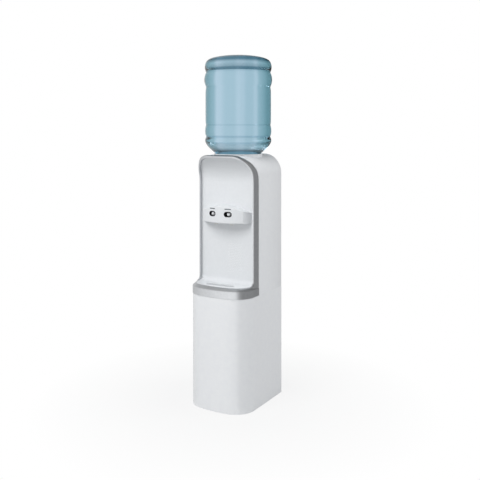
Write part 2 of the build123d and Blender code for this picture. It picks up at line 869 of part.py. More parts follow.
with BuildPart() as bottle_cap:
    with BuildSketch(Plane.XY.offset(neck_bottom - cap_wall)):
        with Locations((0, bottle_y)):
            Circle(neck_radius + running_gap + cap_wall)
    extrude(amount=cap_height)
    with BuildSketch(Plane.XY.offset(neck_bottom)):
        with Locations((0, bottle_y)):
            Circle(neck_radius + running_gap)
    extrude(amount=cap_height, mode=Mode.SUBTRACT)
    with BuildSketch(Plane.XY.offset(neck_bottom - cap_wall)):
        with Locations((0, bottle_y)):
            Circle(probe_radius + slide_gap)
    extrude(amount=cap_wall, mode=Mode.SUBTRACT)

lid_bottom = cabinet_height - lid_drop
lid_top = lid_bottom + lid_thick
lid_radius = tank_radius + tank_flange
seat_top_z = cabinet_height + seat_rise


def seat_cone(clearance, radius):
    """Height where the seat's cone, kept clear of the bottle's, has a radius."""
    return cone_height(radius, -clearance)


with BuildPart() as seat_collar:
    # Skirt under the seat's rim, cut to the shell's round corners.
    with BuildSketch(Plane.XY.offset(cabinet_height)):
        with Locations((0, bottle_y)):
            Circle(seat_rim)
            Circle(seat_rim - seat_lip + seat_gap, mode=Mode.SUBTRACT)
    extrude(amount=-top_corner / 2)
    with BuildSketch(Plane.XZ):
        arch(-seat_gap, base_height)
    extrude(amount=cabinet_depth, both=True, mode=Mode.SUBTRACT)

with BuildPart() as bottle_seat:
    with BuildSketch(bottle_plane):
        with BuildLine():
            outer_well = well_radius + seat_wall
            outer_clear = slide_gap + seat_wall
            mouth = cone_radius + slide_gap * cone_step + seat_rise * cone_slope
            neck_out = seat_rim - seat_lip - seat_gap
            Polyline(
                (0, lid_bottom),
                (lid_radius, lid_bottom),
                (lid_radius, lid_top),
                (outer_well, lid_top),
                (outer_well, seat_cone(outer_clear, outer_well)),
                (neck_out, seat_cone(outer_clear, neck_out)),
                (neck_out, cabinet_height),
                (seat_rim, cabinet_height),
                (seat_rim, seat_top_z),
                (mouth, seat_top_z),
                (well_radius, seat_cone(slide_gap, well_radius)),
                (well_radius, lid_top),
                (0, lid_top),
                (0, lid_bottom),
            )
        make_face()
    revolve(axis=bottle_axis)
    add(seat_collar.part)
    with BuildSketch(Plane.XY.offset(lid_bottom)):
        with Locations((0, bottle_y)):
            Circle(probe_bore)
            with PolarLocations(passage_circle, passage_count):
                Circle(passage_radius)
    extrude(amount=lid_thick, mode=Mode.SUBTRACT)

with BuildPart() as water_probe:
    with BuildSketch(Plane.XY.offset(lid_top)):
        with Locations((0, bottle_y)):
            Circle(probe_flange)
    extrude(amount=probe_flange_thick)
    with BuildSketch(Plane.XY.offset(lid_top)):
        with Locations((0, bottle_y)):
            Circle(probe_radius)
    extrude(amount=probe_height)
    fillet(water_probe.edges().group_by(Axis.Z)[-1], radius=probe_radius / 3)
    with BuildSketch(Plane.XY.offset(lid_top)):
        with Locations((0, bottle_y)):
            Circle(probe_bore)
    extrude(amount=probe_height, mode=Mode.SUBTRACT)

# ---------------------------------------------------------------- cold tank
tank_top = lid_bottom - gasket_thick
tank_bottom = tank_top - tank_height
upper_shelf = tank_bottom - foam_floor - shelf_thick
lower_shelf = upper_shelf - shelf_pitch
cold_stub = (cold_x, bottle_y)
feed_stub = (0, bottle_y + stub_offset)
stub_bottom = upper_shelf - stub_drop

with BuildPart() as tank_gasket:
    with BuildSketch(Plane.XY.offset(tank_top)):
        with Locations((0, bottle_y)):
            Circle(lid_radius)
            Circle(tank_radius, mode=Mode.SUBTRACT)
    extrude(amount=gasket_thick)

with BuildPart() as cold_tank:
    with BuildSketch(Plane.XY.offset(tank_bottom)):
        with Locations((0, bottle_y)):
            Circle(tank_radius)
    extrude(amount=tank_top - tank_bottom)
    with BuildSketch(Plane.XY.offset(tank_top)):
        with Locations((0, bottle_y)):
            Circle(lid_radius)
    extrude(amount=-tank_wall)
    with BuildSketch(Plane.XY.offset(tank_bottom + tank_wall)):
        with Locations((0, bottle_y)):
            Circle(tank_radius - tank_wall)
    extrude(amount=tank_top - tank_bottom, mode=Mode.SUBTRACT)
    with BuildSketch(Plane.XY.offset(stub_bottom)):
        with Locations(cold_stub, feed_stub):
            Circle(stub_radius)
    extrude(amount=tank_bottom - stub_bottom)
    with BuildSketch(Plane.XY.offset(stub_bottom)):
        with Locations(cold_stub, feed_stub):
            Circle(hose_bore)
    extrude(amount=tank_bottom + tank_wall - stub_bottom, mode=Mode.SUBTRACT)

with BuildPart() as cold_baffle:
    with BuildSketch(Plane.XY.offset(tank_bottom + baffle_rise)):
        with Locations((0, bottle_y)):
            Circle(tank_radius - tank_wall - seat_gap)
        with Locations((0, bottle_y - stub_offset)):
            Circle(baffle_hole, mode=Mode.SUBTRACT)
    extrude(amount=tray_wall)
    with BuildSketch(Plane.XY.offset(tank_bottom + tank_wall)):
        with Locations(feed_stub):
            Circle(stub_radius)
    extrude(amount=baffle_rise - tank_wall)
    with BuildSketch(Plane.XY.offset(tank_bottom + tank_wall)):
        with Locations(feed_stub):
            Circle(hose_bore)
    extrude(amount=baffle_rise + tray_wall, mode=Mode.SUBTRACT)

sleeve_radius = tank_radius + seat_gap + sleeve_thick
sleeve_bottom = tank_bottom + sleeve_start
with BuildPart() as evaporator_sleeve:
    with BuildSketch(Plane.XY.offset(sleeve_bottom)):
        with Locations((0, bottle_y)):
            Circle(sleeve_radius)
            Circle(tank_radius + seat_gap, mode=Mode.SUBTRACT)
    extrude(amount=sleeve_height)

suction_z = sleeve_bottom + sleeve_height - pipe_inset
capillary_z = sleeve_bottom + pipe_inset
foam_inner = sleeve_radius + seat_gap
foam_outer = foam_inner + foam_wall


def insulation(side):
    """Half of the foam shell round the cold tank, on one side of the middle."""
    foam_bottom = upper_shelf + shelf_thick
    with BuildPart() as piece:
        with BuildSketch(Plane.XY.offset(foam_bottom)):
            with Locations((0, bottle_y)):
                Circle(foam_outer)
            with Locations((side * foam_outer / 2, bottle_y)):
                Rectangle(foam_outer, 2 * foam_outer, mode=Mode.INTERSECT)
            with Locations(cold_stub, feed_stub):
                Circle(stub_radius + seat_gap, mode=Mode.SUBTRACT)
        extrude(amount=tank_top - tank_wall - foam_bottom)
        with BuildSketch(Plane.XY.offset(tank_bottom)):
            with Locations((0, bottle_y)):
                Circle(foam_inner)
        extrude(amount=tank_top - tank_bottom, mode=Mode.SUBTRACT)
        with BuildSketch(Plane.YZ):
            with Locations((bottle_y, suction_z)):
                Circle(pipe_radius + seat_gap)
            with Locations((bottle_y, capillary_z)):
                Circle(capillary_radius + seat_gap)
        extrude(amount=-foam_outer, mode=Mode.SUBTRACT)
    return piece


insulation_left = insulation(-1)
insulation_right = insulation(1)

# ---------------------------------------------------------------- hot tank
hot_y = rear_y - hot_setback
hot_bottom = lower_shelf + shelf_thick + jacket_floor
hot_top = hot_bottom + hot_height
hot_outlet = (hot_radius / 2, hot_y - hot_radius / 3)
hot_stub_top = hot_top + stub_drop
drain_stub_bottom = lower_shelf - stub_drop
limiter_spot = (-hot_radius / 2, hot_y)
pipe_y = rear_inner - pipe_setback
shelf_back = rear_inner - shelf_setback

with BuildPart() as hot_tank:
    with BuildSketch(Plane.XY.offset(hot_bottom)):
        with Locations((0, hot_y)):
            Circle(hot_radius)
    extrude(amount=hot_height)
    fillet(hot_tank.edges().group_by(Axis.Z)[-1], radius=hot_dome)
    with BuildSketch(Plane.XY.offset(hot_bottom + tank_wall)):
        with Locations((0, hot_y)):
            Circle(hot_radius - hot_dome)
    extrude(amount=hot_height - 2 * tank_wall, mode=Mode.SUBTRACT)
    with BuildSketch(Plane.XY.offset(hot_top)):
        with Locations(hot_outlet, feed_stub):
            Circle(stub_radius)
            Circle(hose_bore, mode=Mode.SUBTRACT)
    extrude(amount=stub_drop)
    with BuildSketch(Plane.XY.offset(drain_stub_bottom)):
        with Locations((0, hot_y)):
            Circle(stub_radius)
            Circle(hose_bore, mode=Mode.SUBTRACT)
    extrude(amount=hot_bottom - drain_stub_bottom)

heater_inner = hot_radius + seat_gap
jacket_inner = heater_inner + heater_thick + seat_gap
with BuildPart() as heater_band:
    with BuildSketch(Plane.XY.offset(hot_bottom + heater_rise)):
        with Locations((0, hot_y)):
            Circle(heater_inner + heater_thick)
            Circle(heater_inner, mode=Mode.SUBTRACT)
    extrude(amount=heater_height)

with BuildPart() as hot_jacket:
    with BuildSketch(Plane.XY.offset(lower_shelf + shelf_thick)):
        with Locations((0, hot_y)):
            Circle(jacket_inner + jacket_wall)
            Circle(stub_radius + seat_gap, mode=Mode.SUBTRACT)
    extrude(amount=jacket_floor + hot_height - hot_dome)
    with BuildSketch(Plane.XY.offset(hot_bottom)):
        with Locations((0, hot_y)):
            Circle(jacket_inner)
    extrude(amount=hot_height, mode=Mode.SUBTRACT)

with BuildPart() as hot_limiter:
    with BuildSketch(Plane.XY.offset(hot_top)):
        with Locations(limiter_spot):
            Circle(limiter_radius)
    extrude(amount=limiter_thick)

# ---------------------------------------------------------------- shelves
def shelf(height, holes, hole_radius):
    """Sheet shelf with side flanges that lie against the shell."""
    front = seam_y + seat_gap
    with BuildPart() as piece:
        with BuildSketch(Plane.XZ.offset(-front)):
            with BuildLine():
                top = height + shelf_thick
                low = height - shelf_flange
                web = side_inner - shelf_thick
                Polyline(
                    (-side_inner, low),
                    (-side_inner, top),
                    (side_inner, top),
                    (side_inner, low),
                    (web, low),
                    (web, height),
                    (-web, height),
                    (-web, low),
                    (-side_inner, low),
                )
            make_face()
        extrude(amount=front - shelf_back)
        with BuildSketch(Plane.XY.offset(height)):
            with Locations(*holes):
                Circle(hole_radius)
        extrude(amount=shelf_thick, mode=Mode.SUBTRACT)
    return piece


barb_spots = [(x, barb_y) for x, _ in tap_spots]
shelf_top = shelf(upper_shelf, [cold_stub, feed_stub, *barb_spots], stub_radius + seat_gap)
shelf_low = shelf(lower_shelf, [(0, hot_y)], stub_radius + seat_gap)

# ---------------------------------------------------------------- hoses
barb_z = tap_spots[0][1] - barb_drop
cold_run = stub_bottom - hose_drop
hot_run = cold_run + hose_step
cold_hose = hose(
    [
        (*cold_stub, stub_bottom),
        (*cold_stub, cold_run),
        (cold_x, barb_y, cold_run),
        (cold_x, barb_y, barb_z),
    ],
    hose_radius,
    hose_bend,
)
hot_hose = hose(
    [
        (*hot_outlet, hot_stub_top),
        (*hot_outlet, hot_run),
        (hot_x, barb_y, hot_run),
        (hot_x, barb_y, barb_z),
    ],
    hose_radius,
    hose_bend,
)
with BuildPart() as feed_hose:
    with BuildSketch(Plane.XY.offset(hot_stub_top)):
        with Locations(feed_stub):
            Circle(hose_radius)
            Circle(hose_bore, mode=Mode.SUBTRACT)
    extrude(amount=stub_bottom - hot_stub_top)
drain_hose = hose(
    [
        (0, hot_y, drain_stub_bottom),
        (0, hot_y, drain_height),
        (0, rear_inner - drain_inside, drain_height),
    ],
    hose_radius,
    hose_bend,
)

# ---------------------------------------------------------------- compressor
pot_y = rear_y - pot_setback
bay_floor = foot_height + base_floor
plate_z = bay_floor + grommet_height
pot_bottom = plate_z + leg_thick
pot_top = pot_bottom + pot_height
leg_spots = [(sx * leg_x, pot_y + sy * leg_y) for sx in (-1, 1) for sy in (-1, 1)]
suction_stub = (-stub_side, pot_y)
discharge_stub = (stub_side, pot_y)

with BuildPart() as compressor_pot:
    with BuildSketch(Plane.XY.offset(pot_bottom)):
        with Locations((0, pot_y)):
            Circle(pot_radius)
    extrude(amount=pot_height)
    fillet(compressor_pot.edges().group_by(Axis.Z)[-1], radius=pot_edge)
    with BuildSketch(Plane.XY.offset(pot_bottom + pot_height / 2 - pot_seam / 2)):
        with Locations((0, pot_y)):
            Circle(pot_radius + pot_seam)
    extrude(amount=pot_seam)
    with BuildSketch(Plane.XY.offset(pot_top)):
        with Locations(suction_stub, discharge_stub):
            Circle(stub_radius)
    extrude(amount=stub_rise)

with BuildPart() as compressor_plate:
    with BuildSketch(Plane.XY.offset(plate_z)):
        with Locations((0, pot_y)):
            RectangleRounded(2 * (leg_x + leg_corner), 2 * (leg_y + leg_corner), leg_corner)
        with Locations(*leg_spots):
            Circle(bolt_radius + seat_gap, mode=Mode.SUBTRACT)
    extrude(amount=leg_thick)

with BuildPart() as compressor_grommets:
    with BuildSketch(Plane.XY.offset(bay_floor)):
        with Locations(*leg_spots):
            Circle(grommet_radius)
            Circle(bolt_radius + seat_gap, mode=Mode.SUBTRACT)
    extrude(amount=grommet_height)

with BuildPart() as compressor_bolts:
    with BuildSketch(Plane.XY.offset(bay_floor)):
        with Locations(*leg_spots):
            Circle(bolt_radius)
    extrude(amount=pot_bottom - bay_floor)
    with BuildSketch(Plane.XY.offset(pot_bottom)):
        with Locations(*leg_spots):
            RegularPolygon(bolt_head / 2, 6, major_radius=False)
    extrude(amount=bolt_head_height)

with BuildPart() as relay_box:
    with BuildSketch(Plane.YZ.offset(pot_radius - relay_depth / 4)):
        with Locations((pot_y, pot_bottom + relay_height)):
            RectangleRounded(relay_width, relay_height, relay_depth / 6)
    extrude(amount=relay_depth)
    with BuildSketch(Plane.XY.offset(pot_bottom)):
        with Locations((0, pot_y)):
            Circle(pot_radius + pot_seam + seat_gap)
    extrude(amount=pot_height, mode=Mode.SUBTRACT)

drier_spot = (-lead_side, pipe_y)
with BuildPart() as filter_drier:
    with BuildSketch(Plane.XY.offset(drier_bottom)):
        with Locations(drier_spot):
            Circle(drier_radius)
    extrude(amount=drier_length)
    fillet(filter_drier.edges().filter_by(GeomType.CIRCLE), radius=drier_radius / 2)

run_z = pot_top + 3 * stub_rise
suction_pipe = hose(
    [
        (*suction_stub, pot_top + stub_rise),
        (*suction_stub, run_z),
        (-suction_x, pot_y, run_z),
        (-suction_x, pipe_y, run_z),
        (-suction_x, pipe_y, suction_z),
        (-suction_x, bottle_y, suction_z),
        (-foam_inner, bottle_y, suction_z),
    ],
    pipe_radius,
    pipe_bend,
)
capillary_low = drier_bottom - pipe_setback
capillary_tube = hose(
    [
        (*drier_spot, drier_bottom),
        (*drier_spot, capillary_low),
        (-capillary_x, pipe_y, capillary_low),
        (-capillary_x, pipe_y, capillary_z),
        (-capillary_x, bottle_y, capillary_z),
        (-foam_inner, bottle_y, capillary_z),
    ],
    capillary_radius,
    pipe_bend / 2,
)

# ---------------------------------------------------------------- condenser
wire_front = rear_y + condenser_reach - wire_size
tube_y = wire_front - weld_gap - tube_radius
wire_back = tube_y - tube_radius - weld_gap
condenser_top = condenser_bottom + (pass_count - 1) * pass_pitch
lead_top = condenser_top - pipe_setback
turn_radius = pass_pitch / 2

with BuildPart() as condenser_tube:
    with BuildLine() as tube_line:
        entry = FilletPolyline(
            (lead_side, pipe_y, lead_top),
            (lead_side, pipe_y, condenser_top),
            (lead_side, tube_y, condenser_top),
            (turn_radius - condenser_side, tube_y, condenser_top),
            radius=lead_bend,
        )
        side = -1
        for i in range(1, pass_count):
            height = condenser_top - i * pass_pitch
            turn_x = side * (condenser_side - turn_radius)
            ThreePointArc(
                (turn_x, tube_y, height + pass_pitch),
                (turn_x + side * turn_radius, tube_y, height + turn_radius),
                (turn_x, tube_y, height),
            )
            side = -side
            if i < pass_count - 1:
                Line((turn_x, tube_y, height), (-turn_x, tube_y, height))
        FilletPolyline(
            (turn_x, tube_y, condenser_bottom),
            (-lead_side, tube_y, condenser_bottom),
            (-lead_side, pipe_y, condenser_bottom),
            (-lead_side, pipe_y, drier_bottom + drier_length),
            radius=lead_bend,
        )
    with BuildSketch(Plane(origin=tube_line.line @ 0, z_dir=tube_line.line % 0)):
        Circle(tube_radius)
    sweep(path=tube_line.line)

discharge_pipe = hose(
    [
        (*discharge_stub, pot_top + stub_rise),
        (*discharge_stub, run_z),
        (lead_side, pot_y, run_z),
        (lead_side, pipe_y, run_z),
        (lead_side, pipe_y, lead_top),
    ],
    tube_radius,
    pipe_bend,
)

wire_length = condenser_top - condenser_bottom + 2 * wire_overhang
with BuildPart() as condenser_wires:
    with BuildSketch(Plane.XY.offset(condenser_bottom - wire_overhang)):
        for wire_y in (wire_front + wire_size / 2, wire_back - wire_size / 2):
            with Locations((0, wire_y)):
                with GridLocations(wire_pitch, 0, wire_count, 1):
                    Rectangle(wire_size, wire_size)
    extrude(amount=wire_length)

clip_x = condenser_side - turn_radius
clip_heights = [condenser_bottom + i * pass_pitch for i in (1, pass_count - 2)]
with BuildPart() as condenser_clips:
    for clip_side in (-1, 1):
        with BuildSketch(Plane.YZ.offset(clip_side * clip_x - clip_width / 2)):
            with Locations(*[(rear_y + clip_thick / 2, z) for z in clip_heights]):
                Rectangle(clip_thick, clip_foot)
            with Locations(*[((rear_y + tube_y) / 2, z) for z in clip_heights]):
                Rectangle(tube_y - rear_y, clip_thick)
            with Locations(*[(tube_y, z) for z in clip_heights]):
                Circle(tube_radius + clip_gap + clip_wall)
                Circle(tube_radius + clip_gap, mode=Mode.SUBTRACT)
        extrude(amount=clip_width)

# ---------------------------------------------------------------- rear services
drain_spot = (0, drain_height)
with BuildPart() as drain_spigot:
    with BuildSketch(Plane.XZ.offset(drain_inside - rear_inner)):
        with Locations(drain_spot):
            Circle(drain_radius)
    extrude(amount=-drain_inside - rear_sheet - drain_stick_out)
    with BuildSketch(Plane.XZ.offset(-rear_y)):
        with Locations(drain_spot):
            Circle(drain_flange)
    extrude(amount=-switch_rim_thick)
    with BuildSketch(Plane.XZ.offset(drain_inside - rear_inner)):
        with Locations(drain_spot):
            Circle(drain_bore)
    extrude(amount=-cabinet_depth, mode=Mode.SUBTRACT)

cap_start = rear_y + switch_rim_thick + seat_gap
with BuildPart() as drain_cap:
    with BuildSketch(Plane.XZ.offset(-cap_start)):
        with Locations(drain_spot):
            RegularPolygon(drain_cap_radius, drain_cap_flat_count)
    extrude(amount=-drain_cap_length)
    outer_rim = drain_cap.edges().group_by(Axis.Y)[-1]
    chamfer(outer_rim, length=drain_cap_radius / 8)
    with BuildSketch(Plane.XZ.offset(-cap_start)):
        with Locations(drain_spot):
            Circle(drain_radius + running_gap)
    extrude(amount=cap_start - rear_y - drain_stick_out - seat_gap, mode=Mode.SUBTRACT)

pivot_y = rear_y - rocker_sink
rocker_spots = [(-switch_pitch / 2, switch_height), (switch_pitch / 2, switch_height)]
well_width = rocker_width + 2 * slide_gap
well_height = 2 * (rocker_radius + slide_gap)
block_depth = rocker_sink + rocker_radius + slide_gap + switch_rim_thick
with BuildPart() as switch_frame:
    with BuildSketch(Plane.XZ.offset(-rear_y)):
        with Locations((0, switch_height)):
            RectangleRounded(
                switch_pitch + well_width + 2 * switch_rim, well_height + 2 * switch_rim, switch_rim / 2
            )
    extrude(amount=-switch_rim_thick)
    with BuildSketch(Plane.XZ.offset(-rear_y)):
        with Locations((0, switch_height)):
            Rectangle(switch_pitch + well_width + switch_rim, well_height + switch_rim)
    extrude(amount=block_depth)
    with BuildSketch(Plane.XZ.offset(-rear_y - switch_rim_thick)):
        with Locations(*rocker_spots):
            Rectangle(well_width, well_height)
    extrude(amount=block_depth, mode=Mode.SUBTRACT)


def rocker(x):
    """Rocker that pivots about an axis along X, with two slanting faces."""
    slant = rocker_radius * sin(radians(rocker_swing))
    with BuildPart() as piece:
        with BuildSketch(Plane.YZ.offset(x - rocker_width / 2)):
            with Locations((pivot_y, switch_height)):
                Circle(rocker_radius)
            with BuildLine():
                Polyline(
                    (pivot_y + rocker_radius - slant, switch_height),
                    (pivot_y + rocker_radius, switch_height + rocker_radius),
                    (pivot_y + rocker_radius, switch_height - rocker_radius),
                    close=True,
                )
            make_face(mode=Mode.SUBTRACT)
        extrude(amount=rocker_width)
    return piece


cold_rocker = rocker(rocker_spots[0][0])
hot_rocker = rocker(rocker_spots[1][0])

knob_spot = (0, knob_height)
with BuildPart() as thermostat_body:
    with BuildSketch(Plane.XZ.offset(-rear_inner)):
        with Locations(knob_spot):
            Rectangle(thermostat_size, thermostat_size)
            Circle(knob_shaft + running_gap, mode=Mode.SUBTRACT)
    extrude(amount=thermostat_depth)

with BuildPart() as thermostat_knob:
    with BuildSketch(Plane.XZ.offset(-rear_y - seat_gap)):
        with Locations(knob_spot):
            Circle(knob_radius)
    extrude(amount=-knob_thick)
    with BuildSketch(Plane.XZ.offset(-rear_y - seat_gap - knob_thick / 2)):
        with Locations(knob_spot):
            Rectangle(2 * knob_radius, knob_radius / 2)
            Circle(knob_radius, mode=Mode.INTERSECT)
    extrude(amount=-knob_thick)
    with BuildSketch(Plane.XZ.offset(-rear_y - seat_gap)):
        with Locations(knob_spot):
            Circle(knob_shaft)
    extrude(amount=thermostat_depth / 2)

inlet_spot = (inlet_side, inlet_height)
with BuildPart() as power_inlet:
    with BuildSketch(Plane.XZ.offset(-rear_y)):
        with Locations(inlet_spot):
            RectangleRounded(inlet_width + 2 * inlet_rim, inlet_tall + 2 * inlet_rim, inlet_rim)
    extrude(amount=-inlet_rim_thick)
    with BuildSketch(Plane.XZ.offset(-rear_y)):
        with Locations(inlet_spot):
            Rectangle(inlet_width, inlet_tall)
    extrude(amount=inlet_depth)
    with BuildSketch(Plane.XZ.offset(inlet_depth - rear_y - inlet_wall)):
        with Locations(inlet_spot):
            Rectangle(inlet_width - 2 * inlet_wall, inlet_tall - 2 * inlet_wall)
    extrude(amount=-inlet_depth, mode=Mode.SUBTRACT)
    with BuildSketch(Plane.XZ.offset(inlet_depth - rear_y - inlet_wall)):
        with Locations(inlet_spot):
            with Locations((-pin_pitch, -pin_tall / 2), (0, pin_tall / 2), (pin_pitch, -pin_tall / 2)):
                Rectangle(pin_width, pin_tall)
    extrude(amount=-inlet_depth / 2)

with BuildPart() as case_screws:
    with BuildSketch(Plane.XZ.offset(-rear_y)):
        with Locations(*screw_spots):
            Circle(screw_head)
    extrude(amount=-screw_head_height)
    with BuildSketch(Plane.XZ.offset(-rear_y)):
        with Locations(*screw_spots):
            Circle(screw_shank)
    extrude(amount=screw_length)

with BuildPart() as rear_panel:
    with BuildSketch(Plane.XZ.offset(-rear_y)):
        arch(shell_wall + seat_gap, base_height)
        with Locations(*screw_spots):
            Circle(screw_shank + screw_hole_gap, mode=Mode.SUBTRACT)
        with Locations(drain_spot):
            Circle(drain_radius + seat_gap, mode=Mode.SUBTRACT)
        with Locations(knob_spot):
            Circle(knob_shaft + seat_gap, mode=Mode.SUBTRACT)
        with Locations((lead_side, condenser_top), (-lead_side, condenser_bottom)):
            Circle(tube_radius + seat_gap, mode=Mode.SUBTRACT)
        with Locations((0, switch_height)):
            Rectangle(
                switch_pitch + well_width + switch_rim + 2 * seat_gap,
                well_height + switch_rim + 2 * seat_gap,
                mode=Mode.SUBTRACT,
            )
        with Locations(inlet_spot):
            Rectangle(inlet_width + 2 * seat_gap, inlet_tall + 2 * seat_gap, mode=Mode.SUBTRACT)
        vent_mid = vent_bottom + (vent_count - 1) * vent_pitch / 2
        with Locations((-vent_side, vent_mid), (vent_side, vent_mid)):
            with GridLocations(0, vent_pitch, 1, vent_count):
                Rectangle(vent_length, vent_width, mode=Mode.SUBTRACT)
    extrude(amount=rear_sheet)

pieces = {
    "base_tray": base_tray,
    "feet": feet,
    "cabinet_wrap": cabinet_wrap,
    "lower_front": lower_front,
    "rear_panel": rear_panel,
    "case_screws": case_screws,
    "trim_frame": trim_frame,
    "recess_panel": recess_panel,
    "tap_housing": tap_housing,
    "housing_floor": housing_floor,
    "indicator_lenses": indicator_lenses,
    "button_bezels": button_bezels,
    "cold_button": cold_button,
    "hot_button": hot_button,
    "cold_tap_body": cold_tap_body,
    "hot_tap_body": hot_tap_body,
    "valve_springs": valve_springs,
    "tap_nuts": tap_nuts,
    "drip_tray": drip_tray,
    "drip_grille": drip_grille,
    "bottle": bottle,
    "bottle_cap": bottle_cap,
    "bottle_seat": bottle_seat,
    "water_probe": water_probe,
    "tank_gasket": tank_gasket,
    "cold_tank": cold_tank,
    "cold_baffle": cold_baffle,
    "evaporator_sleeve": evaporator_sleeve,
    "insulation_left": insulation_left,
    "insulation_right": insulation_right,
    "upper_shelf": shelf_top,
    "hot_tank": hot_tank,
    "heater_band": heater_band,
    "hot_jacket": hot_jacket,
    "hot_limiter": hot_limiter,
    "lower_shelf": shelf_low,
    "cold_hose": cold_hose,
    "hot_hose": hot_hose,
    "feed_hose": feed_hose,
    "drain_hose": drain_hose,
    "compressor_pot": compressor_pot,
    "compressor_plate": compressor_plate,
    "compressor_grommets": compressor_grommets,
    "compressor_bolts": compressor_bolts,
    "relay_box": relay_box,
    "filter_drier": filter_drier,
    "suction_pipe": suction_pipe,
    "capillary_tube": capillary_tube,
    "discharge_pipe": discharge_pipe,
    "condenser_tube": condenser_tube,
    "condenser_wires": condenser_wires,
    "condenser_clips": condenser_clips,
    "drain_spigot": drain_spigot,
    "drain_cap": drain_cap,
    "switch_frame": switch_frame,
    "cold_rocker": cold_rocker,
    "hot_rocker": hot_rocker,
    "thermostat_body": thermostat_body,
    "thermostat_knob": thermostat_knob,
    "power_inlet": power_inlet,
}
os.makedirs("parts", exist_ok=True)
for label, piece in pieces.items():
    piece.part.label = label
    export_step(piece.part, f"parts/{label}.step")
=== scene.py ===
"""Top-load water cooler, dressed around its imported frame. Metres, Z up, front towards -Y."""
from math import atan2, cos, pi, radians, sin, sqrt, tan

import bpy
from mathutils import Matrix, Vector


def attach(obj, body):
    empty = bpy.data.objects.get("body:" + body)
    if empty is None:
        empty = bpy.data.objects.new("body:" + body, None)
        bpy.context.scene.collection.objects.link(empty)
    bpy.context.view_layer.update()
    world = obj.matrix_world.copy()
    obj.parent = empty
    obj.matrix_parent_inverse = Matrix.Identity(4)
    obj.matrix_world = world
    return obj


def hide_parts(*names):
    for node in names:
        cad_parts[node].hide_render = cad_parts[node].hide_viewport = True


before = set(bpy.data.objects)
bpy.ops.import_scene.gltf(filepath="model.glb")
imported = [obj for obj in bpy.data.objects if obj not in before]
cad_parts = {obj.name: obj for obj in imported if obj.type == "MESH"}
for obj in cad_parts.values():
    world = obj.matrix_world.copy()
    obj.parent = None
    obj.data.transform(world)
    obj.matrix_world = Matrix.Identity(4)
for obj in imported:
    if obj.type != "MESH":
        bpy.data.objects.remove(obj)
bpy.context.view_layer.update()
scene = bpy.context.scene

# ------------------------------------------------------------------ camera
# Level view from the cooler's front right, with the lens shifted down so that its
# uprights stay upright.
bpy.ops.object.camera_add(location=(1.4616, -2.4339, 1.0728), rotation=(pi / 2, 0, radians(30.59)))
camera = bpy.context.object
camera.name = "product_camera"
camera.data.sensor_width = 36
camera.data.lens = 53.29
camera.data.shift_y = -0.2311
scene.camera = camera
scene.view_settings.view_transform = "Standard"


# ------------------------------------------------------------------ studio
# A seamless white floor in an even white room, a soft key lamp at the front left and a
# weak one on the right. The floor shows as white and keeps the cooler's soft shadow.
def hex_colour(code):
    """Linear colour of an sRGB hex value."""
    channels = [int(code[i : i + 2], 16) / 255 for i in (0, 2, 4)]
    linear = [c / 12.92 if c <= 0.04045 else ((c + 0.055) / 1.055) ** 2.4 for c in channels]
    return (*linear, 1.0)


def add_node(tree, kind, settings=None, links=None):
    """A node with its settings, by attribute or socket, and its links, by socket."""
    node = tree.nodes.new(kind)
    for name, value in (settings or {}).items():
        if isinstance(name, int) or name in node.inputs:
            node.inputs[name].default_value = value
        else:
            setattr(node, name, value)
    for name, source in (links or {}).items():
        tree.links.new(source, node.inputs[name])
    return node


def colour_ramp(tree, share, stops):
    """Colours that follow a share from 0 to 1, from pairs of a share and a linear colour."""
    ramp = add_node(tree, "ShaderNodeValToRGB", None, {"Fac": share})
    elements = ramp.color_ramp.elements
    for i, (position, colour) in enumerate(stops):
        stop = elements[i] if i < len(elements) else elements.new(position)
        stop.position = position
        stop.color = colour
    return ramp.outputs["Color"]


def map_range(tree, value, low, high, to_low=0.0, to_high=1.0):
    """A value's place between low and high, turned into one between to_low and to_high."""
    settings = {"From Min": low, "From Max": high, "To Min": to_low, "To Max": to_high}
    return add_node(tree, "ShaderNodeMapRange", settings, {"Value": value}).outputs["Result"]


def round_levels(tree, place, levels, hue=(1.0, 1.0, 1.0)):
    """Light by compass direction, from pairs of a share of the full turn and a level. Each
    channel's level is raised to its power in hue."""
    settings = {"gradient_type": "RADIAL"}
    compass = add_node(tree, "ShaderNodeTexGradient", settings, {"Vector": place})
    stops = [(turn, (*(level**power for power in hue), 1.0)) for turn, level in levels]
    return colour_ramp(tree, compass.outputs["Fac"], stops)


def mix_rays(tree, light, seen):
    """The light, but for each kind of ray, given by its share, what that kind sees instead."""
    for share, shader in seen:
        sources = {0: share, 1: light, 2: shader.outputs[0]}
        light = add_node(tree, "ShaderNodeMixShader", None, sources).outputs[0]
    return light


# What shines back off the cooler: white sheets at the front and left, and dim grey walls on
# the right.
mirrored = [
    (0.0, 0.8),
    (0.12, 0.85),
    (0.165, 1.15),
    (0.2, 1.25),
    (0.34, 1.3),
    (0.365, 0.6),
    (0.39, 0.3),
    (0.66, 0.3),
    (0.7, 0.12),
    (0.8, 0.12),
    (0.87, 0.75),
]
# What shows through the full bottle, which bends it round: the white background in soft
# upright strips, with a bluer wall towards either side.
through = [
    (0.0, 0.5),
    (0.3, 0.5),
    (0.69, 0.28),
    (0.728, 0.47),
    (0.758, 0.66),
    (0.773, 1.08),
    (0.787, 1.04),
    (0.803, 0.86),
    (0.826, 0.84),
    (0.834, 1.0),
    (0.848, 0.98),
    (0.856, 0.84),
    (0.872, 0.84),
    (0.879, 0.97),
    (0.885, 0.97),
    (0.893, 0.68),
    (0.914, 0.5),
    (0.945, 0.3),
]
# The power that the level of red, green and blue is raised to, so a darker strip is bluer.
through_hue = (1.0, 0.58, 0.57)

